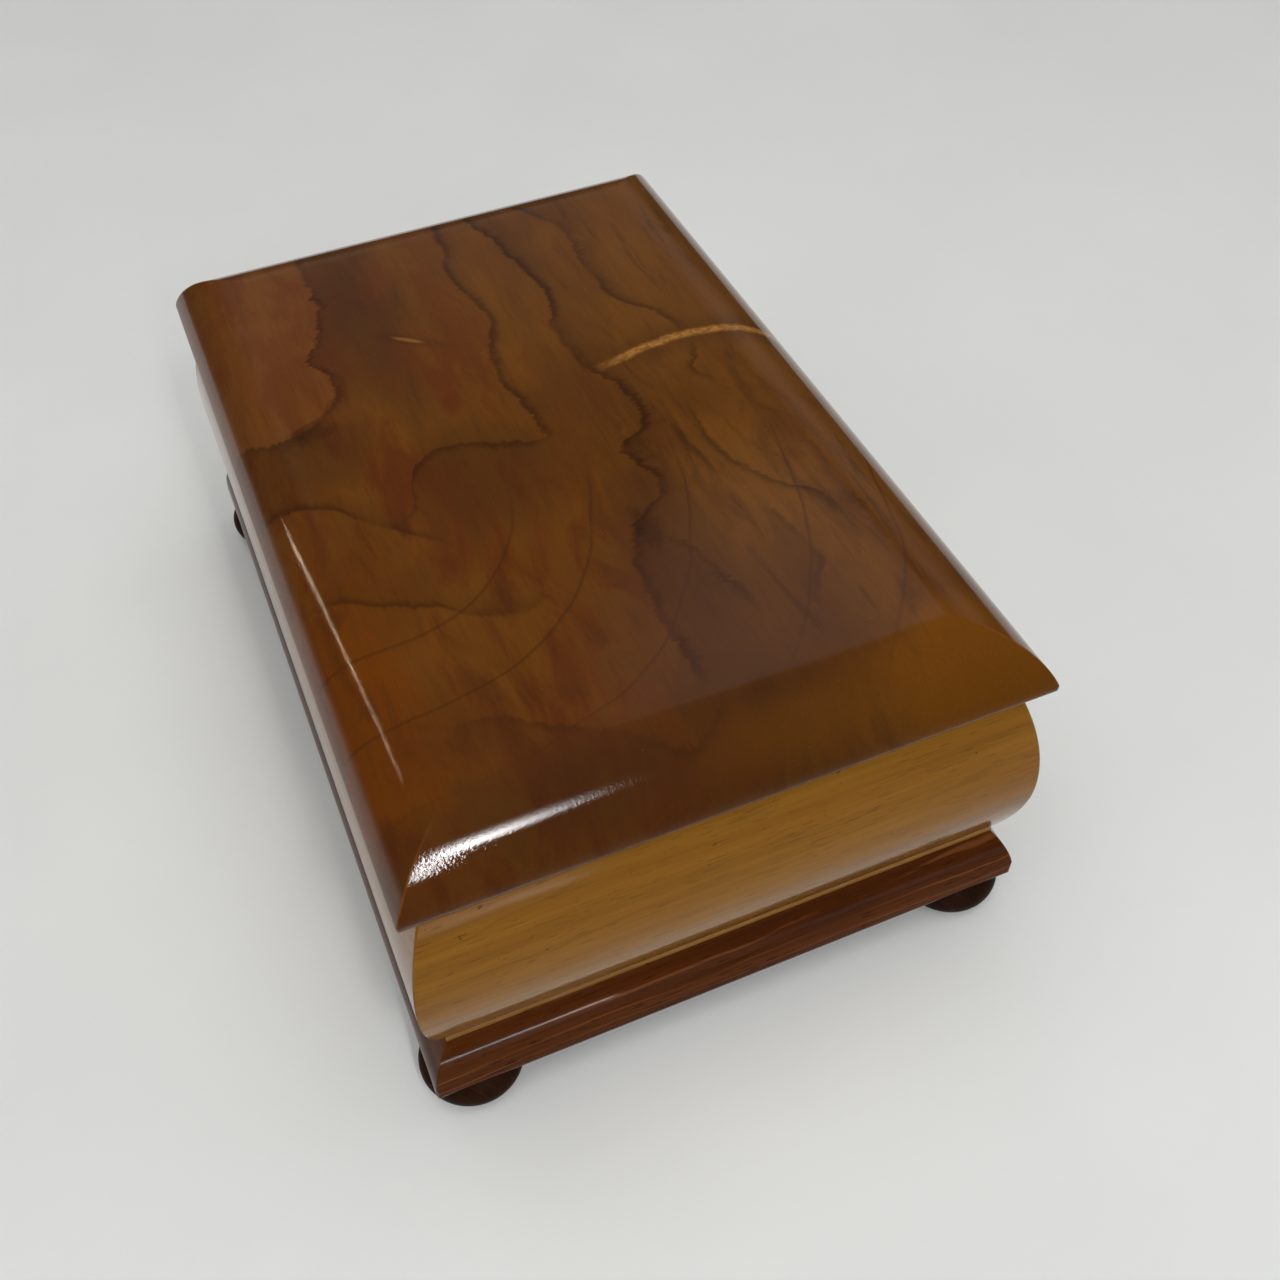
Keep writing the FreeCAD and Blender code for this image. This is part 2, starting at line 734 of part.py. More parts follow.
# Partition with a rebate for the glass, ledges on the other three sides, the pane and the linings
glass_bottom = wall_top - d.glass_drop - d.glass_thickness
glass_top = glass_bottom + d.glass_thickness
rebate_x = partition_x + d.partition_thickness / 2
partition = new_body("partition")
partition_section = [
    (partition_x, floor_top),
    (partition_x + d.partition_thickness, floor_top),
    (partition_x + d.partition_thickness, glass_top),
    (rebate_x, glass_top),
    (rebate_x, glass_bottom),
    (partition_x, glass_bottom),
]
pad(partition, sketch_on(partition, "XZ_Plane", [partition_section]), panel_y * 2, both=True)
ledge_bottom = glass_bottom - d.ledge_size
ledge_end = partition_x - d.joinery_gap
keep(box(-panel_x, -room_y, ledge_bottom, ledge_end, -room_y + d.ledge_size, glass_bottom), "ledge_front")
keep(box(-panel_x, room_y - d.ledge_size, ledge_bottom, ledge_end, room_y, glass_bottom), "ledge_back")
ledge_y = room_y - d.ledge_size - d.joinery_gap
keep(box(-room_x, -ledge_y, ledge_bottom, -room_x + d.ledge_size, ledge_y, glass_bottom), "ledge_left")
glass = new_body("glass_cover")
pane_x0 = -room_x + d.joinery_gap * 4
pane_x1 = rebate_x - d.joinery_gap * 4
pane_y = room_y - d.joinery_gap * 4
pane = [
    (pane_x0, -pane_y),
    (pane_x1, -pane_y),
    (pane_x1, -d.glass_notch),
    (pane_x1 - d.glass_notch, 0.0, d.glass_notch, -1),
    (pane_x1, d.glass_notch, d.glass_notch, -1),
    (pane_x1, pane_y),
    (pane_x0, pane_y),
]
pad(glass, sketch_on(glass, "XY_Plane", [pane], offset=glass_bottom), d.glass_thickness)
felt_x0 = partition_x + d.partition_thickness + d.joinery_gap
keep(box(felt_x0, -panel_y, floor_top, panel_x, panel_y, floor_top + d.felt_thickness), "storage_felt")

# Bedplate on four pillars, held from below
bed = new_body("bedplate")
corner = d.bed_corner
plate = [
    (bed_x0 + corner, bed_y0, corner, 1),
    (bed_x1 - corner, bed_y0),
    (bed_x1, bed_y0 + corner, corner, 1),
    (bed_x1, bed_y1 - corner),
    (bed_x1 - corner, bed_y1, corner, 1),
    (bed_x0 + corner, bed_y1),
    (bed_x0, bed_y1 - corner, corner, 1),
    (bed_x0, bed_y0 + corner),
]
bed_holes = [(x, y, screw_hole) for x, y in bed_corners]
bed_holes.append((barrel_x, axis_y, d.arbor_radius + d.running_gap))
pad(bed, sketch_on(bed, "XY_Plane", [plate], bed_holes, bed_bottom), d.bed_thickness)
pillars, bed_screws = [], []
for x, y in bed_corners:
    hole = rod(x, y, floor_top, screw_hole, d.pillar_height)
    pillars.append(cut(rod(x, y, floor_top, d.pillar_radius, d.pillar_height), hole))
    head = rod(x, y, base_top - d.bed_screw_head_height, d.bed_screw_head, d.bed_screw_head_height)
    shank = rod(x, y, base_top, d.bed_screw_radius, bed_top - base_top)
    bed_screws.append(fuse(head, shank))
group("bed_pillars", pillars)
group("bed_screws", bed_screws)

# Barrel arbor, from the key's thread up to the pivot in the bridge
bridge_bottom = wheel_teeth_top + d.bridge_gap
bridge_top = bridge_bottom + d.bridge_thickness
hub_bottom = barrel_bottom + d.barrel_wall + d.barrel_lift
hub_top = wheel_bottom - d.barrel_lift
key_top = base_top - d.bush_flange_thickness - d.barrel_lift
key_bottom = key_top - d.key_hub_length
arbor = new_body("barrel_arbor")
arbor_section = [
    (0.0, key_bottom + d.barrel_lift),
    (d.arbor_thread_radius, key_bottom + d.barrel_lift),
    (d.arbor_thread_radius, key_top),
    (d.arbor_radius, key_top),
    (d.arbor_radius, hub_bottom),
    (d.arbor_hub_radius, hub_bottom),
    (d.arbor_hub_radius, hub_top),
    (d.arbor_radius, hub_top),
    (d.arbor_radius, bridge_bottom - d.barrel_lift),
    (d.arbor_top_radius, bridge_bottom - d.barrel_lift),
    (d.arbor_top_radius, bridge_top),
    (0.0, bridge_top),
]
revolve(arbor, sketch_on(arbor, "XZ_Plane", [arbor_section]))
place(arbor, barrel_x, axis_y, 0.0)

# Barrel drum
arbor_bore = d.arbor_radius + d.running_gap
drum = new_body("barrel_drum")
drum_section = [
    (arbor_bore, barrel_bottom),
    (d.barrel_radius, barrel_bottom),
    (d.barrel_radius, wheel_bottom),
    (d.barrel_radius - d.barrel_wall, wheel_bottom),
    (d.barrel_radius - d.barrel_wall, barrel_bottom + d.barrel_wall),
    (arbor_bore, barrel_bottom + d.barrel_wall),
]
revolve(drum, sketch_on(drum, "XZ_Plane", [drum_section]))
place(drum, barrel_x, axis_y, 0.0)

# Great wheel: the barrel's cover, with upright teeth round its rim
great = new_body("great_wheel")
ring_out = great_radius + d.great_wheel_face / 2
ring_in = great_radius - d.great_wheel_face / 2
great_section = [
    (arbor_bore, wheel_bottom),
    (ring_out, wheel_bottom),
    (ring_out, wheel_teeth_top),
    (ring_in, wheel_teeth_top),
    (ring_in, wheel_teeth_root),
    (arbor_bore, wheel_teeth_root),
]
revolve(great, sketch_on(great, "XZ_Plane", [great_section]))
drive_pitch = d.drive_module * math.pi
gap_root = drive_pitch * d.contrate_gap_root
gap_mouth = drive_pitch * d.contrate_gap_mouth
contrate_gap = [
    (-gap_root, wheel_teeth_root),
    (gap_root, wheel_teeth_root),
    (gap_mouth, wheel_teeth_top),
    (-gap_mouth, wheel_teeth_top),
]
ring_cut = pocket(great, sketch_on(great, "YZ_Plane", [contrate_gap], offset=ring_out + d.cut_margin),
                  d.great_wheel_face + d.cut_margin * 2)
round_pattern(great, ring_cut, d.great_wheel_teeth)
place(great, barrel_x, axis_y, 0.0)

# Mainspring: a ribbon of half-turn arcs, hooked near the drum and near the arbor
spring_out = d.barrel_radius - d.barrel_wall - d.joinery_gap
spring_in = d.arbor_hub_radius + d.joinery_gap * 4 + d.spring_thickness
half_turns = int(d.spring_turns.value * 2)
step = (spring_out - spring_in).value / half_turns
ribbon_width = (hub_top - hub_bottom).value


def spiral_edges(outer):
    # Half circles about centres that alternate by half a step, so that the ribbon winds inward.
    edges = []
    radius = outer
    centre = 0.0
    hand = 1
    for _ in range(half_turns):
        begin = FreeCAD.Vector(centre + hand * radius, 0, 0)
        middle = FreeCAD.Vector(centre, hand * radius, 0)
        end = FreeCAD.Vector(centre - hand * radius, 0, 0)
        edges.append(Part.Arc(begin, middle, end).toShape())
        centre -= hand * step / 2
        radius -= step / 2
        hand = -hand
    return edges


outer_run = spiral_edges(spring_out.value)
inner_run = spiral_edges((spring_out - d.spring_thickness).value)
starts = [run[0].Vertexes[0].Point for run in (outer_run, inner_run)]
stops = [run[-1].Vertexes[-1].Point for run in (outer_run, inner_run)]
ribbon_edges = outer_run + [Part.LineSegment(stops[0], stops[1]).toShape()]
ribbon_edges += inner_run + [Part.LineSegment(starts[1], starts[0]).toShape()]
ribbon = Part.Face(Part.Wire(Part.__sortEdges__(ribbon_edges)))
spring = keep(doc.addObject("Part::Feature", "mainspring"), "mainspring")
spring.Shape = ribbon.extrude(FreeCAD.Vector(0, 0, ribbon_width))
place(spring, barrel_x, axis_y, hub_bottom)

# Ratchet wheel and click under the bedplate
ratchet_top = bed_bottom - d.ratchet_gap
ratchet_bottom = ratchet_top - d.ratchet_thickness
ratchet = new_body("ratchet_wheel")
pad(ratchet, sketch_on(ratchet, "XY_Plane", (), [
    (0.0, 0.0, d.ratchet_radius),
    (0.0, 0.0, d.arbor_radius + d.seat_gap),
]), d.ratchet_thickness)
tooth_angle = as_size(360.0) / d.ratchet_teeth
ratchet_root = d.ratchet_radius - d.ratchet_depth
beyond = d.ratchet_radius + 1.0
ratchet_gap = [
    (ratchet_root, 0.0),
    (beyond, 0.0),
    (beyond * cosine(tooth_angle), beyond * sine(tooth_angle)),
    (d.ratchet_radius * cosine(tooth_angle), d.ratchet_radius * sine(tooth_angle)),
]
ratchet_cut = pocket(ratchet, sketch_on(ratchet, "XY_Plane", [ratchet_gap]), both=True)
round_pattern(ratchet, ratchet_cut, d.ratchet_teeth)
place(ratchet, barrel_x, axis_y, ratchet_bottom)

click_top = ratchet_top - d.seat_gap
click_bottom = click_top - d.click_thickness
click_tip_y = d.ratchet_radius + d.comb_pin_gap
click_x = barrel_x + d.click_length
click_y = axis_y + click_tip_y + d.click_width / 2
click = new_body("click")
click_half = d.click_width / 2
click_outline = [
    (0.0, -click_half),
    (click_half, 0.0, click_half, 1),
    (0.0, click_half, click_half, 1),
    (-d.click_length, -click_half),
    (-d.click_length + d.click_width, -click_half),
]
pad(click, sketch_on(click, "XY_Plane", [click_outline],
                     [(0.0, 0.0, d.click_pivot_radius + d.running_gap)]), d.click_thickness)
place(click, click_x, click_y, click_bottom)
click_screw = new_body("click_screw")
click_head = d.click_pivot_radius * d.click_head_share
click_screw_section = [
    (0.0, click_bottom - d.screw_head_height - d.running_gap),
    (click_head, click_bottom - d.screw_head_height - d.running_gap),
    (click_head, click_bottom - d.running_gap),
    (d.click_pivot_radius, click_bottom - d.running_gap),
    (d.click_pivot_radius, bed_bottom),
    (0.0, bed_bottom),
]
revolve(click_screw, sketch_on(click_screw, "XZ_Plane", [click_screw_section]))
place(click_screw, click_x, click_y, 0.0)

# Key bush in the bottom panel, and the key below it
bush = new_body("key_bush")
bush_section = [
    (arbor_bore, base_top - d.bush_flange_thickness),
    (d.bush_flange, base_top - d.bush_flange_thickness),
    (d.bush_flange, base_top),
    (d.bush_radius, base_top),
    (d.bush_radius, floor_top),
    (arbor_bore, floor_top),
]
revolve(bush, sketch_on(bush, "XZ_Plane", [bush_section]))
place(bush, barrel_x, axis_y, 0.0)

key = new_body("winding_key")
bow_top = key_bottom + d.barrel_lift
bow_bottom = bow_top - d.key_bow_height
bow_middle = (bow_top + bow_bottom) / 2
bow_round = d.key_bow_height / 2
bow_half = d.key_bow_width / 2 - bow_round
eye = bow_round - d.key_bow_thickness * 1.2
bow = [
    (-bow_half, bow_bottom, bow_round, 1),
    (bow_half, bow_bottom),
    (bow_half + bow_round, bow_middle, bow_round, 1),
    (bow_half, bow_top, bow_round, 1),
    (-bow_half, bow_top),
    (-bow_half - bow_round, bow_middle, bow_round, 1),
]
hub_section = [
    (0.0, bow_middle),
    (d.key_hub_radius, bow_middle),
    (d.key_hub_radius, key_top),
    (d.arbor_thread_radius + d.seat_gap, key_top),
    (d.arbor_thread_radius + d.seat_gap, key_bottom + d.barrel_lift - d.seat_gap),
    (0.0, key_bottom + d.barrel_lift - d.seat_gap),
]
revolve(key, sketch_on(key, "XZ_Plane", [hub_section]))
pad(key, sketch_on(key, "XZ_Plane", [bow]), d.key_bow_thickness, both=True)
key_eyes = [(bow_half * hand, bow_middle, eye) for hand in (-1, 1)]
pocket(key, sketch_on(key, "XZ_Plane", (), key_eyes), both=True)
place(key, barrel_x, axis_y, 0.0)

# Bridge over the barrel
bridge = new_body("barrel_bridge")
leg_in = d.barrel_radius + 3.0
leg_out = leg_in + d.bridge_leg
foot_out = leg_out + d.bridge_foot
foot_top = bed_top + d.bearing_foot_height
bridge_section = [
    (leg_in, bed_top),
    (foot_out, bed_top),
    (foot_out, foot_top),
    (leg_out, foot_top),
    (leg_out, bridge_top),
    (-leg_out, bridge_top),
    (-leg_out, foot_top),
    (-foot_out, foot_top),
    (-foot_out, bed_top),
    (-leg_in, bed_top),
    (-leg_in, bridge_bottom),
    (leg_in, bridge_bottom),
]
pad(bridge, sketch_on(bridge, "YZ_Plane", [bridge_section]), d.bridge_width, both=True)
bridge_bore = (0.0, 0.0, d.arbor_top_radius + d.running_gap)
pocket(bridge, sketch_on(bridge, "XY_Plane", (), [bridge_bore]), both=True)
place(bridge, barrel_x, axis_y, 0.0)

# Cylinder: brass tube, cement filling, arbor
tube_in = d.cylinder_radius - d.cylinder_wall
shell = new_body("cylinder_shell")
pad(shell, sketch_on(shell, "XY_Plane", (), [
    (0.0, 0.0, d.cylinder_radius),
    (0.0, 0.0, tube_in),
]), d.cylinder_length)
place(shell, cylinder_start, axis_y, axis_z, along_x)
cement = new_body("cylinder_cement")
pad(cement, sketch_on(cement, "XY_Plane", (), [
    (0.0, 0.0, tube_in - d.seat_gap),
    (0.0, 0.0, d.cylinder_arbor_radius + d.seat_gap),
]), d.cylinder_length)
place(cement, cylinder_start, axis_y, axis_z, along_x)

cylinder_arbor = new_body("cylinder_arbor")
shaft_start = drive_x - d.drive_pinion_length / 2 - d.pivot_end
shaft_end = right_bearing_x + d.bearing_thickness + d.pivot_end
collar_radius = d.cylinder_arbor_radius * d.collar_share
left_collar = left_bearing_x + d.bearing_thickness + d.running_gap * 2
right_collar = right_bearing_x - d.running_gap * 2
shaft_section = [
    (shaft_start, 0.0),
    (shaft_end, 0.0),
    (shaft_end, d.cylinder_pivot_radius),
    (right_collar, d.cylinder_pivot_radius),
    (right_collar, d.cylinder_arbor_radius),
    (cylinder_wheel_x - d.seat_gap, d.cylinder_arbor_radius),
    (cylinder_wheel_x - d.seat_gap, collar_radius),
    (cylinder_end + d.seat_gap, collar_radius),
    (cylinder_end + d.seat_gap, d.cylinder_arbor_radius),
    (cylinder_start - d.seat_gap, d.cylinder_arbor_radius),
    (cylinder_start - d.seat_gap, collar_radius),
    (left_collar, collar_radius),
    (left_collar, d.cylinder_pivot_radius),
    (shaft_start, d.cylinder_pivot_radius),
]
revolve(cylinder_arbor, sketch_on(cylinder_arbor, "XZ_Plane", [shaft_section]), "H_Axis")
place(cylinder_arbor, 0.0, axis_y, axis_z)


# Tooth thickness at the pitch line, the tip and the root, as shares of the pitch
drive_pinion_tooth = (0.34, 0.16, 0.36)
cylinder_wheel_tooth = (0.42, 0.18, 0.48)
governor_pinion_tooth = (0.32, 0.14, 0.30)
worm_wheel_tooth = (0.34, 0.16, 0.42)


def spur_gear(label, teeth, module, thickness, bore, shares):
    body = new_body(label)
    tooth, tip, foot = shares
    pitch_radius = module * teeth / 2
    tip_radius = pitch_radius + module * d.tooth_addendum
    root_radius = pitch_radius - module * d.tooth_dedendum
    outer = tip_radius + d.cut_margin
    pitch = module * math.pi
    full = as_size(2 * math.pi) / teeth
    at_root = (full * root_radius - pitch * foot) / 2
    at_pitch = (full * pitch_radius - pitch * tooth) / 2
    at_tip = (full * tip_radius - pitch * tip) / 2
    gap = [
        (root_radius, -at_root),
        (pitch_radius, -at_pitch),
        (tip_radius, -at_tip),
        (outer, -at_tip),
        (outer, at_tip),
        (tip_radius, at_tip),
        (pitch_radius, at_pitch),
        (root_radius, at_root),
    ]
    rings = [(0.0, 0.0, tip_radius)]
    if bore is not None:
        rings.append((0.0, 0.0, bore))
    pad(body, sketch_on(body, "XY_Plane", (), rings), thickness)
    round_pattern(body, pocket(body, sketch_on(body, "XY_Plane", [gap]), both=True), teeth)
    return body


def turned(mesh_angle, teeth, tooth_at_mesh):
    # Local angle 0 of a wheel on an X axis points down, so a tooth or a gap is set at the mesh.
    shift = 180.0 / teeth.value if tooth_at_mesh else 0.0
    return along_x.multiply(about((0, 0, 1), mesh_angle + shift))


drive_pinion = spur_gear("cylinder_pinion", d.drive_pinion_teeth, d.drive_module, d.drive_pinion_length,
                         d.cylinder_pivot_radius + d.seat_gap, drive_pinion_tooth)
place(drive_pinion, drive_x - d.drive_pinion_length / 2, axis_y, axis_z,
      turned(0.0, d.drive_pinion_teeth, True))
cylinder_wheel = spur_gear("cylinder_wheel", d.cylinder_wheel_teeth, d.governor_module,
                           d.cylinder_wheel_thickness, d.cylinder_arbor_radius + d.seat_gap,
                           cylinder_wheel_tooth)
mesh_angle = 90.0 - d.governor_drop_angle.value
place(cylinder_wheel, cylinder_wheel_x, axis_y, axis_z, turned(mesh_angle, d.cylinder_wheel_teeth, True))

# Pins: rows round the cylinder at each tooth's place, stepped by a formula so that no row repeats
pins = []
rows_per_tooth = 3
golden_angle = 137.508
pin_shift = 11.0
pin_cycle = 9
comb_length = d.comb_pitch * d.comb_teeth
comb_start = (cylinder_start + cylinder_end) / 2 - comb_length / 2
pin_foot = d.cylinder_radius - d.pin_root
pin_height = d.pin_root + d.pin_length
for tooth in range(int(d.comb_teeth.value)):
    along = comb_start + d.comb_pitch * (tooth + 0.5)
    for row in range(rows_per_tooth):
        place_in_cycle = (tooth * 7 + row * 5) % pin_cycle
        angle = tooth * golden_angle + row * 360.0 / rows_per_tooth + pin_shift * place_in_cycle
        pin = Part.makeBox(d.pin_width.value, d.pin_width.value, pin_height.value)
        pin.translate(FreeCAD.Vector(-d.pin_width.value / 2, -d.pin_width.value / 2, pin_foot.value))
        pin.rotate(FreeCAD.Vector(), FreeCAD.Vector(1, 0, 0), angle)
        pin.translate(FreeCAD.Vector(along.value, 0, 0))
        pins.append(pin)
pin_node = keep(doc.addObject("Part::Feature", "cylinder_pins"), "cylinder_pins")
pin_node.Shape = Part.makeCompound(pins)
place(pin_node, 0.0, axis_y, axis_z)

# Bearings of the cylinder
bearing_top_radius = d.bearing_width / 2
screws = []
tapped_holes = []


def slotted_screw(x, y, under_head, shank_length):
    head = rod(x, y, under_head, d.screw_head, d.screw_head_height)
    shank = rod(x, y, under_head - shank_length, d.screw_radius, shank_length)
    head_top = under_head + d.screw_head_height
    slot_low = head_top - d.screw_slot_depth
    driver_slot = box(x - d.screw_head, y - d.screw_slot / 2, slot_low,
                      x + d.screw_head, y + d.screw_slot / 2, head_top)
    return cut(fuse(head, shank), driver_slot)


def add_screw(x, y):
    screws.append(slotted_screw(x, y, foot_top, d.bearing_foot_height + d.screw_depth))
    tapped_holes.append((x, y, d.screw_radius + d.running_gap))


for label, x in (("bearing_left", left_bearing_x), ("bearing_right", right_bearing_x)):
    bearing = new_body(label)
    upright = [
        (axis_y - bearing_top_radius, bed_top),
        (axis_y + bearing_top_radius, bed_top),
        (axis_y + bearing_top_radius, axis_z),
        (axis_y, axis_z + bearing_top_radius, bearing_top_radius, 1),
        (axis_y - bearing_top_radius, axis_z, bearing_top_radius, 1),
    ]
    pad(bearing, sketch_on(bearing, "YZ_Plane", [upright]), d.bearing_thickness)
    bearing_hole = (axis_y, axis_z, d.cylinder_pivot_radius + d.running_gap)
    pocket(bearing, sketch_on(bearing, "YZ_Plane", (), [bearing_hole]), both=True)
    front = axis_y - bearing_top_radius - d.bearing_foot
    lug = [
        (front, bed_top),
        (axis_y - bearing_top_radius, bed_top),
        (axis_y - bearing_top_radius, foot_top),
        (front, foot_top),
    ]
    pad(bearing, sketch_on(bearing, "YZ_Plane", [lug]), d.bearing_thickness)
    lug_hole = (d.bearing_thickness / 2, front + d.bearing_foot / 2, d.screw_radius + d.running_gap)
    pocket(bearing, sketch_on(bearing, "XY_Plane", (), [lug_hole], foot_top), d.bearing_foot_height)
    place(bearing, x, 0.0, 0.0)
    add_screw(x + d.bearing_thickness / 2, front + d.bearing_foot / 2)

# Comb: one plate, slotted into teeth that grow longer towards the low notes
comb_tip = axis_y - d.cylinder_radius - d.pin_length - d.comb_pin_gap
comb_root = comb_tip - d.comb_tooth_length
comb_back = comb_root - d.comb_slant - d.comb_body
comb_low = axis_z - d.comb_thickness / 2
comb = new_body("comb")
comb_end = comb_start + comb_length
slab_section = [
    (comb_back, comb_low),
    (comb_root - d.comb_slant, comb_low),
    (comb_tip, axis_z - d.comb_tooth_thickness / 2),
    (comb_tip, axis_z + d.comb_tooth_thickness / 2),
    (comb_root - d.comb_slant, comb_low + d.comb_thickness),
    (comb_back, comb_low + d.comb_thickness),
]
pad(comb, sketch_on(comb, "YZ_Plane", [slab_section], offset=comb_start), comb_length)
slot_half = d.comb_slot / 2
slot_x = comb_start + d.comb_pitch
slot_end = comb_tip + d.comb_slant + d.cut_margin
slot = rectangle(slot_x - slot_half, comb_root - d.comb_slant, slot_x + slot_half, slot_end)
slot_cut = pocket(comb, sketch_on(comb, "XY_Plane", [slot]), both=True)
slant_line = comb.newObject("PartDesign::Line", "slant")
slot_run = d.comb_pitch * (d.comb_teeth - 2.0)
slant_line.Placement = FreeCAD.Placement(FreeCAD.Vector(), FreeCAD.Rotation(
    FreeCAD.Vector(0, 0, 1), FreeCAD.Vector(slot_run.value, d.comb_slant.value, 0)))
slots = comb.newObject("PartDesign::LinearPattern", "teeth")
slots.Originals = [slot_cut]
slots.Direction = (slant_line, [""])
slots.Length = root(slot_run * slot_run + d.comb_slant * d.comb_slant).value
bind(slots, "Length", root(slot_run * slot_run + d.comb_slant * d.comb_slant))
slots.Occurrences = int(d.comb_teeth.value) - 1
bind(slots, "Occurrences", d.comb_teeth - 1.0)
comb.Tip = slots
doc.recompute()

# Comb base: a foot on the bedplate and a thick web under the comb's back
comb_base = new_body("comb_base")
web_back = comb_back
web_front = comb_back + d.comb_body
comb_base_section = [
    (web_back - d.comb_base_foot, bed_top),
    (web_front + d.comb_base_foot, bed_top),
    (web_front + d.comb_base_foot, foot_top),
    ((web_front + web_back + d.comb_base_web) / 2, foot_top),
    ((web_front + web_back + d.comb_base_web) / 2, comb_low - d.comb_base_foot),
    (web_front, comb_low - d.comb_base_foot),
    (web_front, comb_low),
    (web_back, comb_low),
    (web_back, comb_low - d.comb_base_foot),
    ((web_front + web_back - d.comb_base_web) / 2, comb_low - d.comb_base_foot),
    ((web_front + web_back - d.comb_base_web) / 2, foot_top),
    (web_back - d.comb_base_foot, foot_top),
]
pad(comb_base, sketch_on(comb_base, "YZ_Plane", [comb_base_section], offset=comb_start), comb_length)
screw_y = (web_front + web_back) / 2
screw_step = comb_length / d.comb_screw_count
screw_places = [comb_start + screw_step * (i + 0.5) for i in range(int(d.comb_screw_count.value))]
comb_holes = [(x, screw_y, d.screw_radius + d.running_gap) for x in screw_places]
pocket(comb, sketch_on(comb, "XY_Plane", (), comb_holes), both=True)
pocket(comb_base, sketch_on(comb_base, "XY_Plane", (), comb_holes, comb_low), d.screw_depth + d.cut_margin)
comb_top = comb_low + d.comb_thickness
comb_screws = [slotted_screw(x, screw_y, comb_top, d.screw_depth + d.comb_thickness) for x in screw_places]
group("comb_screws", comb_screws)
foot_screw_y = web_front + d.comb_base_foot - d.bearing_foot / 2
foot_screws = [(x, foot_screw_y) for x in (screw_places[0], screw_places[-1])]
foot_holes = [(x, y, d.screw_radius + d.running_gap) for x, y in foot_screws]
pocket(comb_base, sketch_on(comb_base, "XY_Plane", (), foot_holes, foot_top), d.bearing_foot_height)
for x, y in foot_screws:
    add_screw(x, y)

# Governor: leaf pinion and worm wheel on one arbor, the worm upright behind it
governor_bore = d.governor_arbor_radius + d.seat_gap
pinion_x = cylinder_wheel_x + d.cylinder_wheel_thickness / 2 - d.governor_pinion_length / 2
governor_pinion = spur_gear("governor_pinion", d.governor_pinion_teeth, d.governor_module,
                            d.governor_pinion_length, governor_bore, governor_pinion_tooth)
place(governor_pinion, pinion_x, governor_y, governor_z,
      turned(mesh_angle + 180.0, d.governor_pinion_teeth, False))
governor_arbor = new_body("governor_arbor")
governor_shaft = [
    (pinion_x - d.arbor_end, 0.0),
    (frame_x1 + d.arbor_end, 0.0),
    (frame_x1 + d.arbor_end, d.governor_arbor_radius),
    (pinion_x - d.arbor_end, d.governor_arbor_radius),
]
revolve(governor_arbor, sketch_on(governor_arbor, "XZ_Plane", [governor_shaft]), "H_Axis")
place(governor_arbor, 0.0, governor_y, governor_z)
worm_wheel = spur_gear("worm_wheel", d.worm_wheel_teeth, d.governor_module, d.worm_wheel_thickness,
                       governor_bore, worm_wheel_tooth)
place(worm_wheel, worm_x - d.worm_wheel_thickness / 2, governor_y, governor_z,
      turned(90.0, d.worm_wheel_teeth, True))

worm_pitch = d.governor_module * math.pi
worm_root = d.worm_radius - d.governor_module * d.tooth_dedendum
worm_tip = d.worm_radius + d.governor_module * d.tooth_addendum
thread_height = worm_pitch * d.worm_turns
thread_bottom = governor_z - worm_pitch * (whole(d.worm_turns / 2) + 0.25)
frame_top = governor_z + worm_wheel_radius + d.governor_module * d.tooth_addendum + d.frame_headroom
frame_plate_top = frame_top + d.frame_plate
fan_bottom = frame_plate_top + d.fan_lift
fan_top = fan_bottom + d.fan_height
pivot_bottom = bed_top + d.frame_plate / 2
worm = new_body("endless_screw")
worm_shoulder_low = thread_bottom - d.pivot_end
worm_shoulder_high = thread_bottom + thread_height + d.pivot_end
worm_section = [
    (0.0, pivot_bottom),
    (d.worm_arbor_radius, pivot_bottom),
    (d.worm_arbor_radius, worm_shoulder_low),
    (worm_root, worm_shoulder_low),
    (worm_root, worm_shoulder_high),
    (d.worm_arbor_radius, worm_shoulder_high),
    (d.worm_arbor_radius, fan_top + d.pivot_end),
    (0.0, fan_top + d.pivot_end),
]
revolve(worm, sketch_on(worm, "XZ_Plane", [worm_section]))
thread_foot = worm_pitch * d.thread_foot_share
thread_edge = worm_pitch * d.thread_edge_share
thread = sketch_on(worm, "XZ_Plane", [[
    (worm_root - d.thread_sink, thread_bottom - thread_foot),
    (worm_tip, thread_bottom - thread_edge),
    (worm_tip, thread_bottom + thread_edge),
    (worm_root - d.thread_sink, thread_bottom + thread_foot),
]])
helix = worm.newObject("PartDesign::AdditiveHelix", "thread")
helix.Profile = thread
helix.ReferenceAxis = (thread, ["V_Axis"])
helix.Mode = 0
helix.Angle = 0.0
helix.Growth = 0.0
helix.Pitch = worm_pitch.value
helix.Height = thread_height.value
bind(helix, "Pitch", worm_pitch)
bind(helix, "Height", thread_height)
doc.recompute()
place(worm, worm_x, worm_y, 0.0)

fan = new_body("air_brake_fan")
fan_hub = [
    (d.worm_arbor_radius + d.seat_gap, fan_bottom),
    (d.fan_disc_radius, fan_bottom),
    (d.fan_disc_radius, fan_bottom + d.fan_disc_thickness),
    (d.fan_hub_radius, fan_bottom + d.fan_disc_thickness),
    (d.fan_hub_radius, fan_top),
    (d.worm_arbor_radius + d.seat_gap, fan_top),
]
blade_in = d.fan_hub_radius - d.fan_blade / 2
revolve(fan, sketch_on(fan, "XZ_Plane", [fan_hub]))
blade_low = fan_bottom + d.fan_disc_thickness + d.frame_headroom
blade_high = fan_top - d.arbor_end
blades = [rectangle(blade_in * hand, blade_low, d.fan_radius * hand, blade_high) for hand in (-1, 1)]
pad(fan, sketch_on(fan, "XZ_Plane", blades), d.fan_blade, both=True)
place(fan, worm_x, worm_y, 0.0)

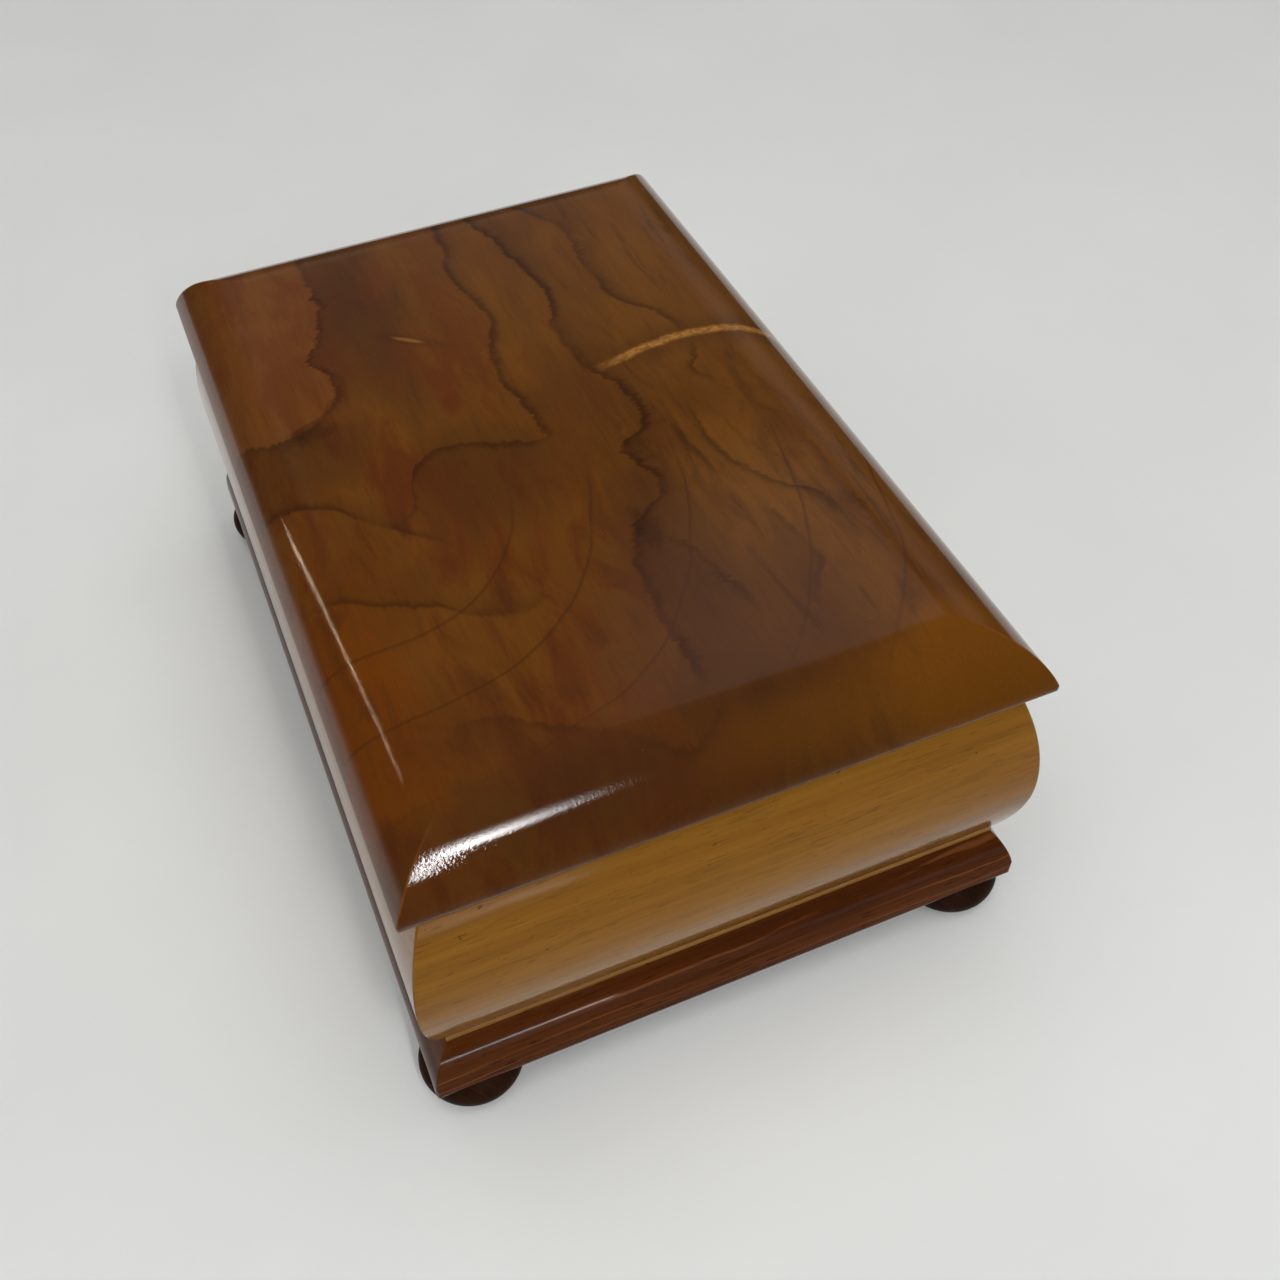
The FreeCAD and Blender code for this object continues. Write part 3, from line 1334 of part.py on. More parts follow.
frame = new_body("governor_frame")
frame_y0 = governor_y - d.frame_overhang
frame_y1 = frame_y0 + d.frame_depth
outer_ring = rectangle(frame_x0, bed_top, frame_x1, frame_plate_top)
window = rectangle(frame_x0 + d.frame_cheek, bed_top + d.frame_plate, frame_x1 - d.frame_cheek, frame_top)
pad(frame, sketch_on(frame, "XZ_Plane", [outer_ring, window], offset=-frame_y1), d.frame_depth)
arbor_hole = (governor_y, governor_z, d.governor_arbor_radius + d.running_gap)
pocket(frame, sketch_on(frame, "YZ_Plane", (), [arbor_hole]), both=True)
pivot_hole = (worm_x, worm_y, d.worm_arbor_radius + d.running_gap)
pocket(frame, sketch_on(frame, "XY_Plane", (), [pivot_hole]), both=True)

# Stop lever: at the end of its swing its edge comes up to the brake disc under the fan
lever_bottom = fan_bottom - d.stop_gap / 2
lever_top = lever_bottom + d.stop_lever_thickness
post_x = worm_x
post_y = worm_y + d.stop_post_distance
post_shoulder = lever_bottom - d.running_gap
post_head = lever_top + d.running_gap
post = new_body("stop_post")
stop_post_section = [
    (0.0, bed_top),
    (d.stop_post_radius, bed_top),
    (d.stop_post_radius, post_shoulder),
    (d.screw_radius, post_shoulder),
    (d.screw_radius, post_head),
    (d.screw_head, post_head),
    (d.screw_head, post_head + d.screw_head_height),
    (0.0, post_head + d.screw_head_height),
]
revolve(post, sketch_on(post, "XZ_Plane", [stop_post_section]))
place(post, post_x, post_y, 0.0)
lever = new_body("stop_lever")
lever_half = d.stop_lever_width / 2
lever_outline = [
    (-d.stop_lever_length, -lever_half),
    (0.0, -lever_half),
    (lever_half, 0.0, lever_half, 1),
    (0.0, lever_half, lever_half, 1),
    (-d.stop_lever_length, lever_half),
    (-d.stop_lever_length - lever_half, 0.0, lever_half, 1),
]
lever_outline[0] += (lever_half, 1)
pad(lever, sketch_on(lever, "XY_Plane", [lever_outline], [(0.0, 0.0, d.screw_radius + d.running_gap)]),
    d.stop_lever_thickness)
edge_reach = (d.fan_disc_radius + lever_half + d.stop_gap) / d.stop_post_distance
lever_rest = 90.0 - math.degrees(math.asin(edge_reach.value)) - d.stop_lever_swing.value
place(lever, post_x, post_y, lever_bottom, about((0, 0, 1), lever_rest))

for y in (axis_y - leg_out - d.bridge_foot / 2, axis_y + leg_out + d.bridge_foot / 2):
    add_screw(barrel_x, y)
bridge_screw_y = leg_out + d.bridge_foot / 2
bridge_holes = [(0.0, bridge_screw_y * hand, d.screw_radius + d.running_gap) for hand in (-1, 1)]
pocket(bridge, sketch_on(bridge, "XY_Plane", (), bridge_holes, foot_top), d.bearing_foot_height)
group("movement_screws", screws)
pocket(bed, sketch_on(bed, "XY_Plane", (), tapped_holes, bed_top), d.screw_depth)

# Checks before writing
doc.recompute()
failed = []
for obj in doc.Objects:
    if "Invalid" in obj.State or "Error" in obj.State:
        owner = obj.getParentGeoFeatureGroup()
        failed.append(f"{obj.Name} of {owner.Label if owner else 'the document'}")
if failed:
    raise RuntimeError("failed: " + ", ".join(failed))
for obj in parts:
    if obj.Shape.isNull() or not obj.Shape.isValid() or not obj.Shape.Solids:
        raise RuntimeError(f"{obj.Label} has no valid shape")
for obj in parts:
    obj.Shape.exportStep(f"parts/{obj.Label}.step")
print(len(parts), "sub-parts written")
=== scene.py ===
import bpy
import json
import math
from mathutils import Matrix, Vector


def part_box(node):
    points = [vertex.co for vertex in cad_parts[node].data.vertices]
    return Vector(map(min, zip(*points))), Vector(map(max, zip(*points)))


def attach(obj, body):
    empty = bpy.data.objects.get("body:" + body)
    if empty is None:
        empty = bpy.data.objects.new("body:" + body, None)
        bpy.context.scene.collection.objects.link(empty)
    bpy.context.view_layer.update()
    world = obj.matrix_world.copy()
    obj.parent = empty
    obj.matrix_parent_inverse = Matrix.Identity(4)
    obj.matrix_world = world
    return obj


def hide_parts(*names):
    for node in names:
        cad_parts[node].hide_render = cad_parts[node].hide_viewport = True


# Lacquered cylinder music box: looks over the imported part, metres, Z up.
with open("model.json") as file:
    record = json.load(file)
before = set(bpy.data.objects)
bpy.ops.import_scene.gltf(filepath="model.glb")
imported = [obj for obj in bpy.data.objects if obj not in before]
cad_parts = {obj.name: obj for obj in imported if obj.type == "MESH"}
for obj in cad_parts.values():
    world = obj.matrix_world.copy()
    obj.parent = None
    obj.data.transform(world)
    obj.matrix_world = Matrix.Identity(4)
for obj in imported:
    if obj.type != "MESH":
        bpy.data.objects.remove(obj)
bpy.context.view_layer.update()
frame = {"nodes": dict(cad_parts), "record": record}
nodes = frame["nodes"]
print("stage: frame loaded,", len(nodes), "nodes")


def colour(red, green, blue):
    def linear(level):
        level = level / 255
        return level / 12.92 if level <= 0.04045 else ((level + 0.055) / 1.055) ** 2.4
    return (linear(red), linear(green), linear(blue), 1.0)


# node helpers: a value given as a socket is linked, anything else is set
def feed(tree, socket, value):
    if isinstance(value, bpy.types.NodeSocket):
        tree.links.new(value, socket)
    else:
        socket.default_value = value


def put(tree, kind, inputs=None, **settings):
    made = tree.nodes.new("ShaderNode" + kind)
    for key, value in settings.items():
        setattr(made, key, value)
    for key, value in (inputs or {}).items():
        feed(tree, made.inputs[key], value)
    return made


def calc(tree, operation, *values):
    return put(tree, "Math", dict(enumerate(values)), operation=operation).outputs[0]


def product(tree, first, *others):
    for other in others:
        first = calc(tree, "MULTIPLY", first, other)
    return first


def vectorCalc(tree, operation, *values, output="Vector"):
    return put(tree, "VectorMath", dict(enumerate(values)), operation=operation).outputs[output]


def smooth(tree, value, low, high, start=0.0, end=1.0):
    inputs = {"Value": value, "From Min": low, "From Max": high, "To Min": start, "To Max": end}
    return put(tree, "MapRange", inputs, interpolation_type="SMOOTHSTEP").outputs[0]


def noise(tree, vector, scale, detail=3.0, roughness=0.5, distortion=0.0, kind="Fac"):
    inputs = {"Vector": vector, "Scale": scale, "Detail": detail, "Roughness": roughness,
              "Distortion": distortion}
    return put(tree, "TexNoise", inputs).outputs[kind]


def mixColour(tree, factor, first, second):
    # sockets 6, 7 and 2 are the colour ones of this node
    return put(tree, "Mix", {0: factor, 6: first, 7: second}, data_type="RGBA").outputs[2]


def ramp(tree, factor, stops):
    made = put(tree, "ValToRGB", {"Fac": factor})
    elements = made.color_ramp.elements
    while len(elements) < len(stops):
        elements.new(0.5)
    for element, (place, shade) in zip(elements, stops):
        element.position = place
        element.color = shade
    return made.outputs[0]


def stretch(tree, vector, scale, turn=(0, 0, 0)):
    return put(tree, "Mapping", {"Vector": vector, "Scale": scale, "Rotation": turn}).outputs[0]


def lineThrough(tree, value, points, span):
    # a curve through a few points, in tenths of a metre, over the span of value
    low, high = span
    most = 1.2  # levels lie between -most and most
    places = [((place - low) / (high - low), (level + most) / (2 * most)) for place, level in points]
    share = calc(tree, "DIVIDE", calc(tree, "SUBTRACT", value, low), high - low)
    made = put(tree, "FloatCurve", {"Value": share})
    curve = made.mapping.curves[0]
    curve.points[0].location = places[0]
    curve.points[1].location = places[-1]
    for place in places[1:-1]:
        curve.points.new(*place)
    made.mapping.update()
    return calc(tree, "SUBTRACT", calc(tree, "MULTIPLY", made.outputs[0], 2 * most), most)


def newGroup(name, inputs, outputs):
    tree = bpy.data.node_groups.new(name, "ShaderNodeTree")
    for label, kind in inputs:
        tree.interface.new_socket(label, in_out="INPUT", socket_type="NodeSocket" + kind)
    for label, kind in outputs:
        tree.interface.new_socket(label, in_out="OUTPUT", socket_type="NodeSocket" + kind)
    return tree, tree.nodes.new("NodeGroupInput"), tree.nodes.new("NodeGroupOutput")


def useGroup(tree, group, inputs):
    made = tree.nodes.new("ShaderNodeGroup")
    made.node_tree = group
    for key, value in inputs.items():
        feed(tree, made.inputs[key], value)
    return made.outputs


# straight grain: broad bands, fine fibres and short pores along X
grainGroup, source, sink = newGroup("straightGrain", [("Vector", "Vector")],
                                    [("Bands", "Float"), ("Fibre", "Float"), ("Pores", "Float")])
grainLook = {"wander": 0.004, "bands": (5, 90, 90), "fibre": (18, 900, 900), "pores": (120, 1500, 1500)}
wander = vectorCalc(grainGroup, "SCALE", noise(grainGroup, source.outputs[0], 9.0, 2.0, kind="Color"))
wander.node.inputs["Scale"].default_value = grainLook["wander"]
along = vectorCalc(grainGroup, "ADD", source.outputs[0], wander)
bands = noise(grainGroup, stretch(grainGroup, along, grainLook["bands"]), 1.0, 4.0, 0.62)
fibre = noise(grainGroup, stretch(grainGroup, along, grainLook["fibre"]), 1.0, 3.0, 0.6)
poreNoise = noise(grainGroup, stretch(grainGroup, along, grainLook["pores"]), 1.0, 1.0, 0.5)
feed(grainGroup, sink.inputs["Bands"], bands)
feed(grainGroup, sink.inputs["Fibre"], fibre)
feed(grainGroup, sink.inputs["Pores"], smooth(grainGroup, poreNoise, 0.62, 0.72))

# lacquer: uneven polish, faint orange peel and a little dust
lacquerGroup, source, sink = newGroup("lacquerFilm", [("Vector", "Vector")],
                                      [("Polish", "Float"), ("Peel", "Float"), ("Dust", "Float")])
filmLook = {"polish": 28.0, "peel": 1100.0, "dust": 900.0}
polish = noise(lacquerGroup, source.outputs[0], filmLook["polish"], 4.0, 0.6)
peel = noise(lacquerGroup, source.outputs[0], filmLook["peel"], 2.0, 0.6)
speck = noise(lacquerGroup, source.outputs[0], filmLook["dust"], 1.0, 0.5)
feed(lacquerGroup, sink.inputs["Polish"], polish)
feed(lacquerGroup, sink.inputs["Peel"], peel)
feed(lacquerGroup, sink.inputs["Dust"], smooth(lacquerGroup, speck, 0.74, 0.8))

# worn arrises: how far the rounded normal turns from the face
wearGroup, source, sink = newGroup("arrisWear", [("Vector", "Vector"), ("Radius", "Float")],
                                   [("Wear", "Float")])
rounded = put(wearGroup, "Bevel", {"Radius": source.outputs["Radius"]}, samples=4).outputs[0]
face = put(wearGroup, "NewGeometry").outputs["Normal"]
together = vectorCalc(wearGroup, "DOT_PRODUCT", rounded, face, output="Value")
patchy = smooth(wearGroup, noise(wearGroup, source.outputs["Vector"], 60.0, 4.0, 0.6), 0.35, 0.65)
turnedAway = smooth(wearGroup, together, 0.992, 0.86)
feed(wearGroup, sink.inputs["Wear"], product(wearGroup, turnedAway, patchy))

# lid figure: dark feathered lines placed as in the board, growth arcs, a pale streak and a knot
figure = {
    # line along X: points (x, y) in tenths of a metre, side that darkens, reach of the shade, strength
    # and the stretch of x where the line is drawn
    "alongX": [
        ([(-1.5, 0.22), (-1.28, 0.34), (-1.09, 0.45), (-0.85, 0.44), (-0.6, 0.46), (-0.42, 0.58),
          (-0.31, 0.6), (0.1, 0.62)], 1, 0.14, 0.75, (-1.5, -0.25)),
        ([(-1.5, 0.08), (-1.05, 0.2), (-0.9, 0.23), (-0.69, 0.25), (-0.45, 0.2), (-0.27, 0.21), (-0.07, 0.29),
          (0.14, 0.27), (0.18, 0.19), (0.42, 0.21), (0.52, 0.1), (0.7, 0.01), (0.84, -0.01), (1.11, -0.01),
          (1.5, -0.02)], 1, 0.17, 1.0, (-1.5, 1.2)),
        ([(-1.5, 0.02), (-1.14, -0.01), (-0.97, -0.04), (-0.66, 0.01), (-0.36, -0.07), (-0.17, -0.05),
          (0.05, -0.03), (0.4, -0.02)], 1, 0.12, 0.9, (-1.4, 0.08)),
        ([(-1.5, -0.53), (-1.3, -0.54), (-1.0, -0.54), (-0.82, -0.58), (-0.68, -0.64), (-0.58, -0.61),
          (-0.47, -0.605), (-0.38, -0.66), (-0.31, -0.8)], 1, 0.2, 0.95, (-1.6, -0.35)),
        ([(0.0, 0.47), (0.16, 0.47), (0.3, 0.46), (0.43, 0.5), (0.55, 0.57), (0.66, 0.68), (0.78, 0.69),
          (1.0, 0.72)], -1, 0.1, 0.75, (0.08, 0.86)),
        ([(0.55, 0.48), (0.66, 0.5), (0.73, 0.52), (0.84, 0.52), (0.9, 0.53), (0.97, 0.48), (1.1, 0.44)],
         -1, 0.14, 0.8, (0.6, 1.06)),
        ([(-0.3, 0.64), (-0.24, 0.63), (-0.15, 0.61), (-0.08, 0.56), (0.0, 0.61), (0.15, 0.64)],
         -1, 0.08, 0.75, (-0.26, 0.06)),
        ([(0.6, 0.14), (0.66, 0.17), (0.72, 0.21), (0.81, 0.23), (0.88, 0.25), (0.94, 0.26), (1.1, 0.28)],
         -1, 0.1, 0.75, (0.62, 1.0)),
        ([(0.0, 0.41), (0.13, 0.4), (0.22, 0.39), (0.33, 0.4), (0.43, 0.41), (0.6, 0.43)],
         -1, 0.1, 0.55, (0.1, 0.48)),
        ([(-0.3, 0.72), (-0.16, 0.71), (0.01, 0.69), (0.18, 0.69), (0.26, 0.75), (0.4, 0.78)],
         -1, 0.07, 0.55, (-0.2, 0.36)),
        ([(0.0, 0.745), (0.09, 0.75), (0.43, 0.75), (0.62, 0.75), (0.81, 0.77), (0.97, 0.81), (1.1, 0.83)],
         -1, 0.04, 0.5, (0.06, 1.02)),
    ],
    # line along Y: points (y, x), same settings
    "alongY": [
        ([(-0.9, 0.2), (-0.52, 0.18), (-0.5, 0.08), (-0.42, -0.03), (-0.3, -0.05), (-0.17, 0.0),
          (-0.03, 0.05), (0.1, 0.06)], 1, 0.2, 0.85, (-0.56, -0.02)),
        ([(-1.0, -0.46), (-0.93, -0.4), (-0.85, -0.325), (-0.74, -0.325), (-0.68, -0.36), (-0.62, -0.45)],
         1, 0.18, 0.9, (-1.0, -0.66)),
        ([(-1.0, -0.05), (-0.9, 0.0), (-0.78, 0.08), (-0.66, 0.22), (-0.52, 0.35), (-0.4, 0.45)],
         -1, 0.16, 0.8, (-1.0, -0.48)),
        ([(-1.0, 0.42), (-0.86, 0.47), (-0.74, 0.56), (-0.61, 0.62), (-0.47, 0.72), (-0.36, 0.75),
          (-0.28, 0.71), (-0.26, 0.55)], -1, 0.2, 0.72, (-0.95, -0.26)),
        ([(-0.8, 1.0), (-0.69, 1.05), (-0.6, 1.06), (-0.48, 1.14), (-0.27, 1.26), (-0.08, 1.36), (0.1, 1.45)],
         1, 0.4, 0.42, (-0.78, 0.05)),
    ],
    "ringCentre": (0.14, -0.75), "ringSquash": 0.93, "ringRadii": (0.53, 0.78, 1.07, 1.42, 1.69),
    "streak": [(0.1, -0.21), (0.27, -0.22), (0.43, -0.255), (0.63, -0.27), (0.9, -0.21), (1.0, -0.2)],
    "knot": (-0.65, -0.29),
    # clouds (x, y, reach x, reach y, strength), dark and light ones
    # the smoky cloud at x 1.36 on the near pillow is painted shade; the other smoky clouds are dark figure
    "smoky": [(-0.85, -0.4, 0.55, 0.15, 0.6), (-0.18, -0.74, 0.2, 0.24, 0.5), (0.8, 0.16, 0.6, 0.2, 0.5),
              (0.16, -0.26, 0.26, 0.28, 0.4), (0.36, -0.74, 0.34, 0.16, 0.3), (1.36, -0.45, 0.16, 0.5, 0.6),
              (1.05, 0.3, 0.36, 0.4, 0.45), (1.12, -0.72, 0.24, 0.2, 0.35), (1.26, 0.12, 0.26, 0.34, 0.55)],
    "blots": [(0.2, 0.22, 0.1, 0.045, 0.4), (0.57, 0.1, 0.1, 0.045, 0.4), (-0.29, -0.74, 0.05, 0.1, 0.35)],
    "amber": [(1.42, 0.78, 0.2, 0.36, 0.75), (1.4, 0.3, 0.08, 0.3, 0.3)],
    "clear": [(0.84, -0.52, 0.34, 0.26, 0.55), (-0.75, 0.76, 0.9, 0.3, 0.6),
              (-0.3, 0.36, 0.5, 0.14, 0.4), (0.5, 0.86, 0.7, 0.14, 0.5)],
    "brown": colour(88, 51, 18), "gold": colour(102, 62, 20), "red": colour(92, 47, 17),
    "orange": colour(108, 55, 7), "honey": colour(112, 66, 13), "tongue": colour(108, 63, 27),
    "smoke": colour(60, 34, 17), "ink": colour(33, 18, 9), "pale": colour(176, 122, 56),
    # near: painted shade laid on the rolled near edge
    "hair": colour(64, 34, 16), "near": colour(48, 26, 4), "topHeight": 1.31,
}
# how much of each layer's colour is laid on
# the near layer is painted shade on the rolled near edge
layer = {"orange": 0.8, "smoke": 0.45, "near": 0.16, "flame": 0.55, "lines": 0.14, "fibres": 0.14, "shade": 0.62,
         "ink": 0.7, "ring": 0.55, "besideStreak": 0.35}
figureGroup, source, sink = newGroup("figuredBoard", [("Vector", "Vector")],
                                     [("Colour", "Color"), ("Height", "Float")])
tree = figureGroup
board = vectorCalc(tree, "MULTIPLY", source.outputs[0], (10, 10, 10))
parts = put(tree, "SeparateXYZ", {0: board}).outputs
across, deep = parts[0], parts[1]
toothy = smooth(tree, noise(tree, board, 4.0, 2.0, 0.5), 0.4, 0.7, 0.15, 1.0)


def jagged(tree, slow, fine):
    # how far a line strays: a slow wander and fine teeth
    wander = calc(tree, "SUBTRACT", noise(tree, stretch(tree, board, slow), 1.0, 3.0, 0.6), 0.5)
    teeth = calc(tree, "SUBTRACT", noise(tree, stretch(tree, board, fine), 1.0, 2.0, 0.75), 0.5)
    strayed = calc(tree, "MULTIPLY", wander, 0.07)
    return calc(tree, "MULTIPLY_ADD", calc(tree, "MULTIPLY", teeth, toothy), 0.085, strayed)


jagX = jagged(tree, (7, 2, 2), (44, 7, 7))
jagY = jagged(tree, (2, 7, 2), (7, 44, 7))
breaks = smooth(tree, noise(tree, board, 3.6, 3.0, 0.6), 0.34, 0.58, 0.25, 1.0)
inks, shades, sides = [], [], []
spanX, spanY = (-1.5, 1.5), (-1.0, 1.0)
for axis, value, other, jag, span in (("alongX", across, deep, jagX, spanX),
                                      ("alongY", deep, across, jagY, spanY)):
    for points, side, reach, strength, (first, last) in figure[axis]:
        padded = list(points)
        if padded[0][0] > span[0]:
            padded.insert(0, (span[0], padded[0][1]))
        if padded[-1][0] < span[1]:
            padded.append((span[1], padded[-1][1]))
        offset = calc(tree, "SUBTRACT", other, lineThrough(tree, value, padded, span))
        away = calc(tree, "ADD", jag, calc(tree, "MULTIPLY", offset, side))
        inRange = calc(tree, "MULTIPLY", smooth(tree, value, first - 0.06, first + 0.12),
                       smooth(tree, value, last + 0.06, last - 0.12))
        weight = calc(tree, "MULTIPLY", inRange, strength)
        edge = smooth(tree, away, -0.008, 0.012)
        sides.append(edge)
        inks.append(product(tree, edge, smooth(tree, away, 0.045, 0.0), weight))
        shades.append(product(tree, edge, smooth(tree, away, reach, -0.05), weight))


def strongest(tree, values):
    best = values[0]
    for value in values[1:]:
        best = calc(tree, "MAXIMUM", best, value)
    return best


ink = calc(tree, "MULTIPLY", strongest(tree, inks), breaks)
shade = strongest(tree, shades)
patches = noise(tree, stretch(tree, board, (0.9, 1.8, 1)), 1.3, 3.0, 0.55, 0.4)
cloud = noise(tree, stretch(tree, board, (1.2, 3.2, 1)), 2.1, 4.0, 0.62, 0.8)
tone = mixColour(tree, smooth(tree, patches, 0.38, 0.62), figure["brown"], figure["gold"])
redPart = calc(tree, "MULTIPLY", smooth(tree, deep, 0.35, -0.35), smooth(tree, cloud, 0.4, 0.6))
tone = mixColour(tree, redPart, tone, figure["red"])
orangePart = product(tree, smooth(tree, deep, -0.5, -0.85), smooth(tree, across, 0.0, 0.7),
                     smooth(tree, across, 1.4, 1.2), layer["orange"])
tone = mixColour(tree, orangePart, tone, figure["orange"])


def clouds(tree, entries, ragged):
    found = []
    for x, y, reachX, reachY, strength in entries:
        offset = vectorCalc(tree, "SUBTRACT", board, (x, y, figure["topHeight"]))
        offset = stretch(tree, offset, (1 / reachX, 1 / reachY, 0))
        far = vectorCalc(tree, "LENGTH", offset, output="Value")
        far = calc(tree, "MULTIPLY_ADD", calc(tree, "SUBTRACT", ragged, 0.5), 2.4, far)
        found.append(smooth(tree, far, 1.25, 0.3, 0.0, strength))
    return strongest(tree, found)


tone = mixColour(tree, clouds(tree, figure["clear"], cloud), tone, figure["gold"])
smokePart = product(tree, smooth(tree, cloud, 0.47, 0.66), smooth(tree, across, -1.2, 0.9), layer["smoke"])
tone = mixColour(tree, smokePart, tone, figure["smoke"])
tone = mixColour(tree, clouds(tree, figure["smoky"], cloud), tone, figure["smoke"])
tone = mixColour(tree, clouds(tree, figure["amber"], patches), tone, figure["honey"])
# painted shade: the rolled near edge is laid darker, standing in for the dim room it mirrors
tone = mixColour(tree, smooth(tree, across, 1.15, 1.4, 0.0, layer["near"]), tone, figure["near"])
# inside the tongue, under the fourth long line and left of the second cross line
underLine, leftOfLine = sides[3], sides[len(figure["alongX"]) + 1]
tongue = product(tree, calc(tree, "SUBTRACT", 1.0, underLine), calc(tree, "SUBTRACT", 1.0, leftOfLine),
                 smooth(tree, cloud, 0.35, 0.65, 0.85, 0.35), smooth(tree, across, -1.5, -0.7, 0.4, 1.0))
tone = mixColour(tree, tongue, tone, figure["tongue"])
# flame streaks in the back half
flame = noise(tree, stretch(tree, board, (1.7, 10, 1)), 1.0, 4.0, 0.62, 1.3)
calm = smooth(tree, across, 1.3, 1.05, 0.2, 1.0)
flame = product(tree, smooth(tree, flame, 0.53, 0.7), smooth(tree, deep, 0.12, 0.45), calm, layer["flame"])
tone = mixColour(tree, flame, tone, figure["smoke"])
lines = noise(tree, stretch(tree, board, (2.2, 34, 20)), 1.0, 4.0, 0.65, 0.3)
lines = product(tree, smooth(tree, lines, 0.35, 0.75), calm, layer["lines"])
tone = mixColour(tree, lines, tone, figure["smoke"])
fibres = noise(tree, stretch(tree, board, (5, 150, 90)), 1.0, 2.0, 0.6)
darkFibres = calc(tree, "MULTIPLY", smooth(tree, fibres, 0.45, 0.75), layer["fibres"])
tone = mixColour(tree, darkFibres, tone, figure["ink"])
# growth arcs about one centre
fromX = calc(tree, "MULTIPLY", calc(tree, "SUBTRACT", across, figure["ringCentre"][0]), figure["ringSquash"])
fromY = calc(tree, "SUBTRACT", deep, figure["ringCentre"][1])
squares = calc(tree, "ADD", calc(tree, "MULTIPLY", fromX, fromX), calc(tree, "MULTIPLY", fromY, fromY))
radius = calc(tree, "SQRT", squares)
radius = calc(tree, "MULTIPLY_ADD", calc(tree, "SUBTRACT", noise(tree, board, 1.4, 2.0), 0.5), 0.12, radius)
rightSide = smooth(tree, fromX, -0.05, 0.3)
rings = []
for ringRadius in figure["ringRadii"]:
    gone = calc(tree, "SUBTRACT", radius, ringRadius)
    rings.append(calc(tree, "MULTIPLY", smooth(tree, gone, -0.007, 0.0), smooth(tree, gone, 0.012, 0.0)))
ring = product(tree, strongest(tree, rings), rightSide, smooth(tree, across, 1.4, 1.0, 0.1, 1.0))
shade = product(tree, shade, smooth(tree, cloud, 0.3, 0.6, 0.45, 1.0), layer["shade"])
tone = mixColour(tree, shade, tone, figure["smoke"])
tone = mixColour(tree, calc(tree, "MULTIPLY", ink, layer["ink"]), tone, figure["ink"])
torn = noise(tree, stretch(tree, board, (16, 16, 16)), 1.0, 4.0, 0.7, 0.6)
tone = mixColour(tree, clouds(tree, figure["blots"], torn), tone, figure["ink"])
tone = mixColour(tree, calc(tree, "MULTIPLY", ring, layer["ring"]), tone, figure["hair"])
# pale streak across the board and the small knot
streakLine = [(-1.0, -0.21)] + figure["streak"]
streakOff = calc(tree, "SUBTRACT", across, lineThrough(tree, deep, streakLine, spanY))
streakOff = calc(tree, "MULTIPLY_ADD", jagY, 0.3, streakOff)
streakRange = smooth(tree, deep, 0.22, 0.4)
streakFar = calc(tree, "ABSOLUTE", streakOff)
streakCore = calc(tree, "MULTIPLY", smooth(tree, streakFar, 0.028, 0.006), streakRange)
streakDark = product(tree, smooth(tree, streakFar, 0.12, 0.03), streakRange, layer["besideStreak"])
tone = mixColour(tree, streakDark, tone, figure["smoke"])
broken = smooth(tree, noise(tree, stretch(tree, board, (90, 50, 50)), 1.0, 3.0, 0.6), 0.34, 0.66, 0.3, 0.75)
tone = mixColour(tree, calc(tree, "MULTIPLY", streakCore, broken), tone, figure["pale"])
knotOff = vectorCalc(tree, "SUBTRACT", board, (*figure["knot"], figure["topHeight"]))
knotOff = stretch(tree, stretch(tree, knotOff, (1, 1, 0), (0, 0, -0.9)), (13, 75, 0))
knotFar = vectorCalc(tree, "LENGTH", knotOff, output="Value")
tone = mixColour(tree, smooth(tree, knotFar, 3.0, 1.0, 0.0, 0.35), tone, figure["smoke"])
tone = mixColour(tree, smooth(tree, knotFar, 1.0, 0.4, 0.0, 0.3), tone, figure["pale"])
feed(tree, sink.inputs["Colour"], tone)
feed(tree, sink.inputs["Height"], fibres)
print("stage: shared shader groups ready")


def startMaterial(name):
    made = bpy.data.materials.new(name)
    made.use_nodes = True
    tree = made.node_tree
    tree.nodes.clear()
    shader = tree.nodes.new("ShaderNodeBsdfPrincipled")
    output = tree.nodes.new("ShaderNodeOutputMaterial")
    tree.links.new(shader.outputs[0], output.inputs["Surface"])
    place = put(tree, "TexCoord").outputs["Object"]
    return made, tree, shader, place


def setShader(tree, shader, **inputs):
    for key, value in inputs.items():
        feed(tree, shader.inputs[key.replace("_", " ")], value)


def spread(tree, mask, span):
    # a noise mask laid out evenly between two values
    inputs = {"Value": mask, "From Min": 0.3, "From Max": 0.7, "To Min": span[0], "To Max": span[1]}
    return put(tree, "MapRange", inputs).outputs[0]


def lacquered(tree, shader, place, height, settings):
    film = useGroup(tree, lacquerGroup, {"Vector": place})
    rounded = put(tree, "Bevel", {"Radius": settings["arris"]}, samples=4).outputs[0]
    depth = 0.0002
    grainBump = put(tree, "Bump", {"Strength": settings["grainBump"], "Distance": depth, "Height": height,
                                   "Normal": rounded}).outputs[0]
    normal = put(tree, "Bump", {"Strength": settings["peel"], "Distance": depth, "Height": film["Peel"],
                                "Normal": grainBump}).outputs[0]
    rough = spread(tree, film["Polish"], settings["gloss"])
    rough = calc(tree, "MULTIPLY_ADD", film["Dust"], 0.25, rough)
    setShader(tree, shader, Roughness=rough, Normal=normal)
    shader.inputs["IOR"].default_value = settings["index"]


materials = {}
lidLook = {"arris": 0.0012, "grainBump": 0.02, "peel": 0.1, "gloss": (0.012, 0.035), "index": 1.35,
           "wornTo": colour(168, 106, 46), "wear": 0.5}
made, tree, shader, place = startMaterial("lidWood")
board = useGroup(tree, figureGroup, {"Vector": place})
wear = useGroup(tree, wearGroup, {"Vector": place, "Radius": lidLook["arris"]})["Wear"]
tone = mixColour(tree, calc(tree, "MULTIPLY", wear, lidLook["wear"]), board["Colour"], lidLook["wornTo"])
lacquered(tree, shader, place, board["Height"], lidLook)
setShader(tree, shader, Base_Color=tone)
materials["lid_wood"] = made


